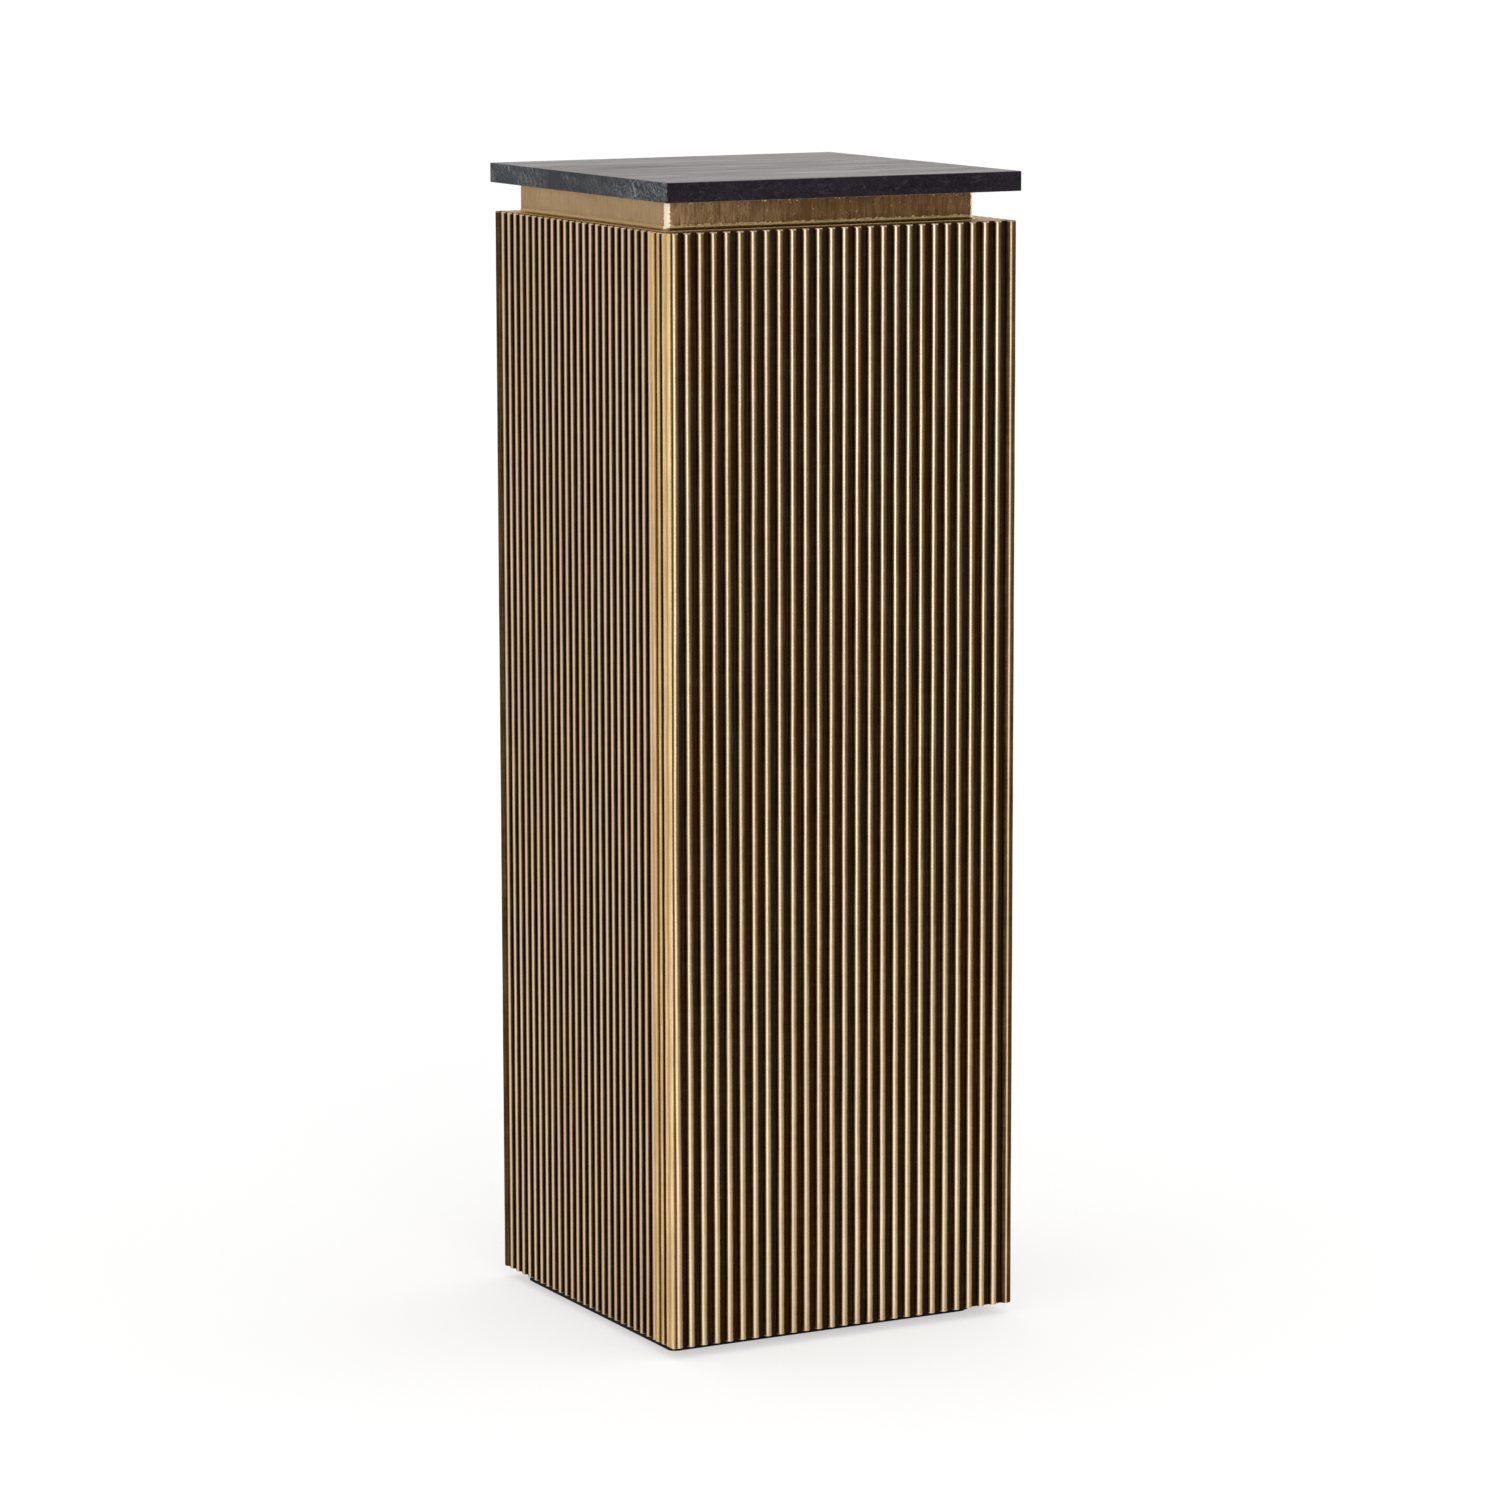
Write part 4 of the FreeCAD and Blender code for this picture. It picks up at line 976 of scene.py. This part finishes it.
ARRIS = 0.8
CUT_STEP = 3.0            # spacing of the extra points along the edges
CUTS = 51                 # of them to each side of the middle
CUT_HEIGHTS = (SLAB_LOW + 1.6, SLAB_LOW + 4.5, SLAB_HIGH - 4.5, SLAB_HIGH - 1.4)
RIM = 1.0                 # only points this close to an outer face are chipped
CHIP_REACH = 2.0          # and this close to an edge
CHIP_FADE = 2.4
CHIP_LENGTH = 5.0
CHIP_SLOPE = 4.0
CHIPS = ((1.1, 0.24), (0.5, 0.36))   # deepest chip and its rarity, lower and upper edge


def cut_across(work, place, normal):
    geometry = list(work.verts) + list(work.edges) + list(work.faces)
    bmesh.ops.bisect_plane(work, geom=geometry, plane_co=place, plane_no=normal)


def chip(spot):
    """Knock a point near an edge of the slab inwards where the noise says so."""
    distances = (spot.z - SLAB_LOW, SLAB_HIGH - spot.z)
    for distance, (deepest, rarity) in zip(distances, CHIPS):
        if distance > CHIP_REACH:
            continue
        row = 9.0 * deepest     # the two edges read different rows of the noise
        bite = noise.noise(Vector((spot.x / CHIP_LENGTH, spot.y / CHIP_LENGTH, row))) - rarity
        if bite > 0.0:
            depth = min(deepest, bite * CHIP_SLOPE) * (1.0 - distance / CHIP_FADE)
            if abs(spot.x) > SLAB_HALF - RIM:
                spot.x -= math.copysign(depth, spot.x)
            if abs(spot.y) > SLAB_HALF - RIM:
                spot.y -= math.copysign(depth, spot.y)


def marble_slab():
    """Slab with a fine arris and small chips along its edges."""
    work = bmesh.new()
    size = Vector((2 * SLAB_HALF, 2 * SLAB_HALF, SLAB_HIGH - SLAB_LOW)) * MM
    middle = Vector((0.0, 0.0, (SLAB_HIGH + SLAB_LOW) / 2 * MM))
    bmesh.ops.create_cube(work, size=1.0,
                          matrix=Matrix.Translation(middle) @ Matrix.Diagonal((*size, 1.0)))
    bmesh.ops.bevel(work, geom=list(work.edges), offset=ARRIS * MM, segments=3, profile=0.6,
                    affect="EDGES")
    for normal in (Vector((1.0, 0.0, 0.0)), Vector((0.0, 1.0, 0.0))):
        for index in range(-CUTS, CUTS + 1):
            cut_across(work, normal * (index * CUT_STEP) * MM, normal)
    for height in CUT_HEIGHTS:
        cut_across(work, (0.0, 0.0, height * MM), (0.0, 0.0, 1.0))
    for vert in work.verts:
        spot = vert.co / MM
        if max(abs(spot.x), abs(spot.y)) >= SLAB_HALF - RIM:
            chip(spot)
            vert.co = spot * MM
    mesh = bpy.data.meshes.new("marble_slab")
    work.to_mesh(mesh)
    work.free()
    settle(mesh, STONE_EDGE)
    new_piece("marble_slab", mesh, HONED_TOP, "marble", "top_slab")
    mesh.materials.append(SAWN_EDGE_SHADED)
    mesh.materials.append(SAWN_EDGE_LIT_VEINED)
    # Painted shade: the front and back edges take the darker copy, the left and right edges the
    # lighter veined one.
    for face in mesh.polygons:
        if abs(face.normal.z) > 0.5:
            continue
        face.material_index = 1 if abs(face.normal.y) > abs(face.normal.x) else 2


marble_slab()


# ---------------------------------------------------------------------- studio

FLOOR_REACH = 40.0        # metres
FLOOR_GREY = (0.68, 0.68, 0.68, 1.0)
FLOOR_GLOW = 0.52
SKY_LIGHT = 0.72          # strength of the white sky as light, where it is seen as 1


def background_rays(tree):
    """1 for the rays that see the background as it is: camera, glossy and transmission."""
    path = tree.nodes.new("ShaderNodeLightPath")
    first = tree.nodes.new("ShaderNodeMath")
    first.operation = "MAXIMUM"
    second = tree.nodes.new("ShaderNodeMath")
    second.operation = "MAXIMUM"
    tree.links.new(path.outputs["Is Camera Ray"], first.inputs[0])
    tree.links.new(path.outputs["Is Glossy Ray"], first.inputs[1])
    tree.links.new(first.outputs[0], second.inputs[0])
    tree.links.new(path.outputs["Is Transmission Ray"], second.inputs[1])
    return second.outputs[0]


def studio_floor():
    """Pale floor that reads white and keeps the object's shadow."""
    mesh = bpy.data.meshes.new("studio_floor")
    reach = FLOOR_REACH
    mesh.from_pydata([(-reach, -reach, 0.0), (reach, -reach, 0.0), (reach, reach, 0.0),
                      (-reach, reach, 0.0)], [], [(0, 1, 2, 3)])
    floor = bpy.data.objects.new("studio_floor", mesh)
    bpy.context.scene.collection.objects.link(floor)
    material = bpy.data.materials.new("studio_floor")
    material.use_nodes = True
    tree = material.node_tree
    tree.nodes.clear()
    output = tree.nodes.new("ShaderNodeOutputMaterial")
    diffuse = tree.nodes.new("ShaderNodeBsdfDiffuse")
    diffuse.inputs["Color"].default_value = FLOOR_GREY
    glow = tree.nodes.new("ShaderNodeEmission")
    added = tree.nodes.new("ShaderNodeAddShader")
    strength = tree.nodes.new("ShaderNodeMath")
    strength.operation = "MULTIPLY"
    strength.inputs[1].default_value = FLOOR_GLOW
    tree.links.new(background_rays(tree), strength.inputs[0])
    tree.links.new(strength.outputs[0], glow.inputs["Strength"])
    tree.links.new(diffuse.outputs[0], added.inputs[0])
    tree.links.new(glow.outputs[0], added.inputs[1])
    tree.links.new(added.outputs[0], output.inputs["Surface"])
    mesh.materials.append(material)


def studio_world():
    """White sky, a little weaker as light than as what is seen."""
    world = bpy.data.worlds.new("studio")
    world.use_nodes = True
    tree = world.node_tree
    tree.nodes.clear()
    output = tree.nodes.new("ShaderNodeOutputWorld")
    sky = tree.nodes.new("ShaderNodeBackground")
    sky.inputs["Color"].default_value = (1.0, 1.0, 1.0, 1.0)
    strength = tree.nodes.new("ShaderNodeMapRange")
    strength.inputs["To Min"].default_value = SKY_LIGHT
    strength.inputs["To Max"].default_value = 1.0
    tree.links.new(background_rays(tree), strength.inputs["Value"])
    tree.links.new(strength.outputs["Result"], sky.inputs["Strength"])
    tree.links.new(sky.outputs[0], output.inputs["Surface"])
    bpy.context.scene.world = world


def softbox(name, azimuth, distance, height, width, tall, radiance):
    """Area lamp at an angle right of the front normal, aimed level at the column. Metres."""
    lamp = bpy.data.lights.new(name, "AREA")
    lamp.shape = "RECTANGLE"
    lamp.size = width
    lamp.size_y = tall
    lamp.energy = radiance * math.pi * width * tall
    angle = math.radians(azimuth)
    outward = Vector((math.sin(angle), -math.cos(angle), 0.0))
    thing = bpy.data.objects.new(name, lamp)
    thing.location = outward * distance + Vector((0.0, 0.0, height))
    thing.rotation_euler = outward.to_track_quat("Z", "Y").to_euler()
    thing.visible_camera = False
    bpy.context.scene.collection.objects.link(thing)


# The camera, fitted to the photograph: angles in radians, places in heights of the object
CAMERA_YAW = 0.48894
CAMERA_PITCH = 0.15972
CAMERA_ROLL = -0.00203
CAMERA_AWAY = 4.96709
CAMERA_UP = 1.28627
CAMERA_ASIDE = 0.00147
CAMERA_LENS = 136.85
CAMERA_SENSOR = 36.0
OBJECT_HEIGHT = 0.9144    # metres


def photo_camera():
    """Camera at the photograph's viewing angle, tilted down at the column."""
    yaw, pitch, roll = CAMERA_YAW, CAMERA_PITCH, CAMERA_ROLL
    right = Vector((math.cos(yaw), -math.sin(yaw), 0.0))
    forward = Vector((math.sin(yaw) * math.cos(pitch), math.cos(yaw) * math.cos(pitch),
                      -math.sin(pitch)))
    up = right.cross(forward)
    across = right * math.cos(roll) + up * math.sin(roll)
    upward = up * math.cos(roll) - right * math.sin(roll)
    data = bpy.data.cameras.new("camera")
    data.lens = CAMERA_LENS
    data.sensor_width = CAMERA_SENSOR
    data.clip_end = 100.0
    camera = bpy.data.objects.new("camera", data)
    away = CAMERA_AWAY * OBJECT_HEIGHT
    spot = Vector((-math.sin(yaw) * away, -math.cos(yaw) * away, CAMERA_UP * OBJECT_HEIGHT))
    spot += right * CAMERA_ASIDE * OBJECT_HEIGHT
    turn = Matrix((across, upward, -forward)).transposed().to_4x4()
    camera.matrix_world = Matrix.Translation(spot) @ turn
    bpy.context.scene.collection.objects.link(camera)
    bpy.context.scene.camera = camera


studio_floor()
studio_world()
softbox("key_softbox", azimuth=-12.0, distance=2.4, height=1.05, width=1.2, tall=2.0,
        radiance=1.45)
photo_camera()
bpy.context.scene.view_settings.view_transform = "Standard"
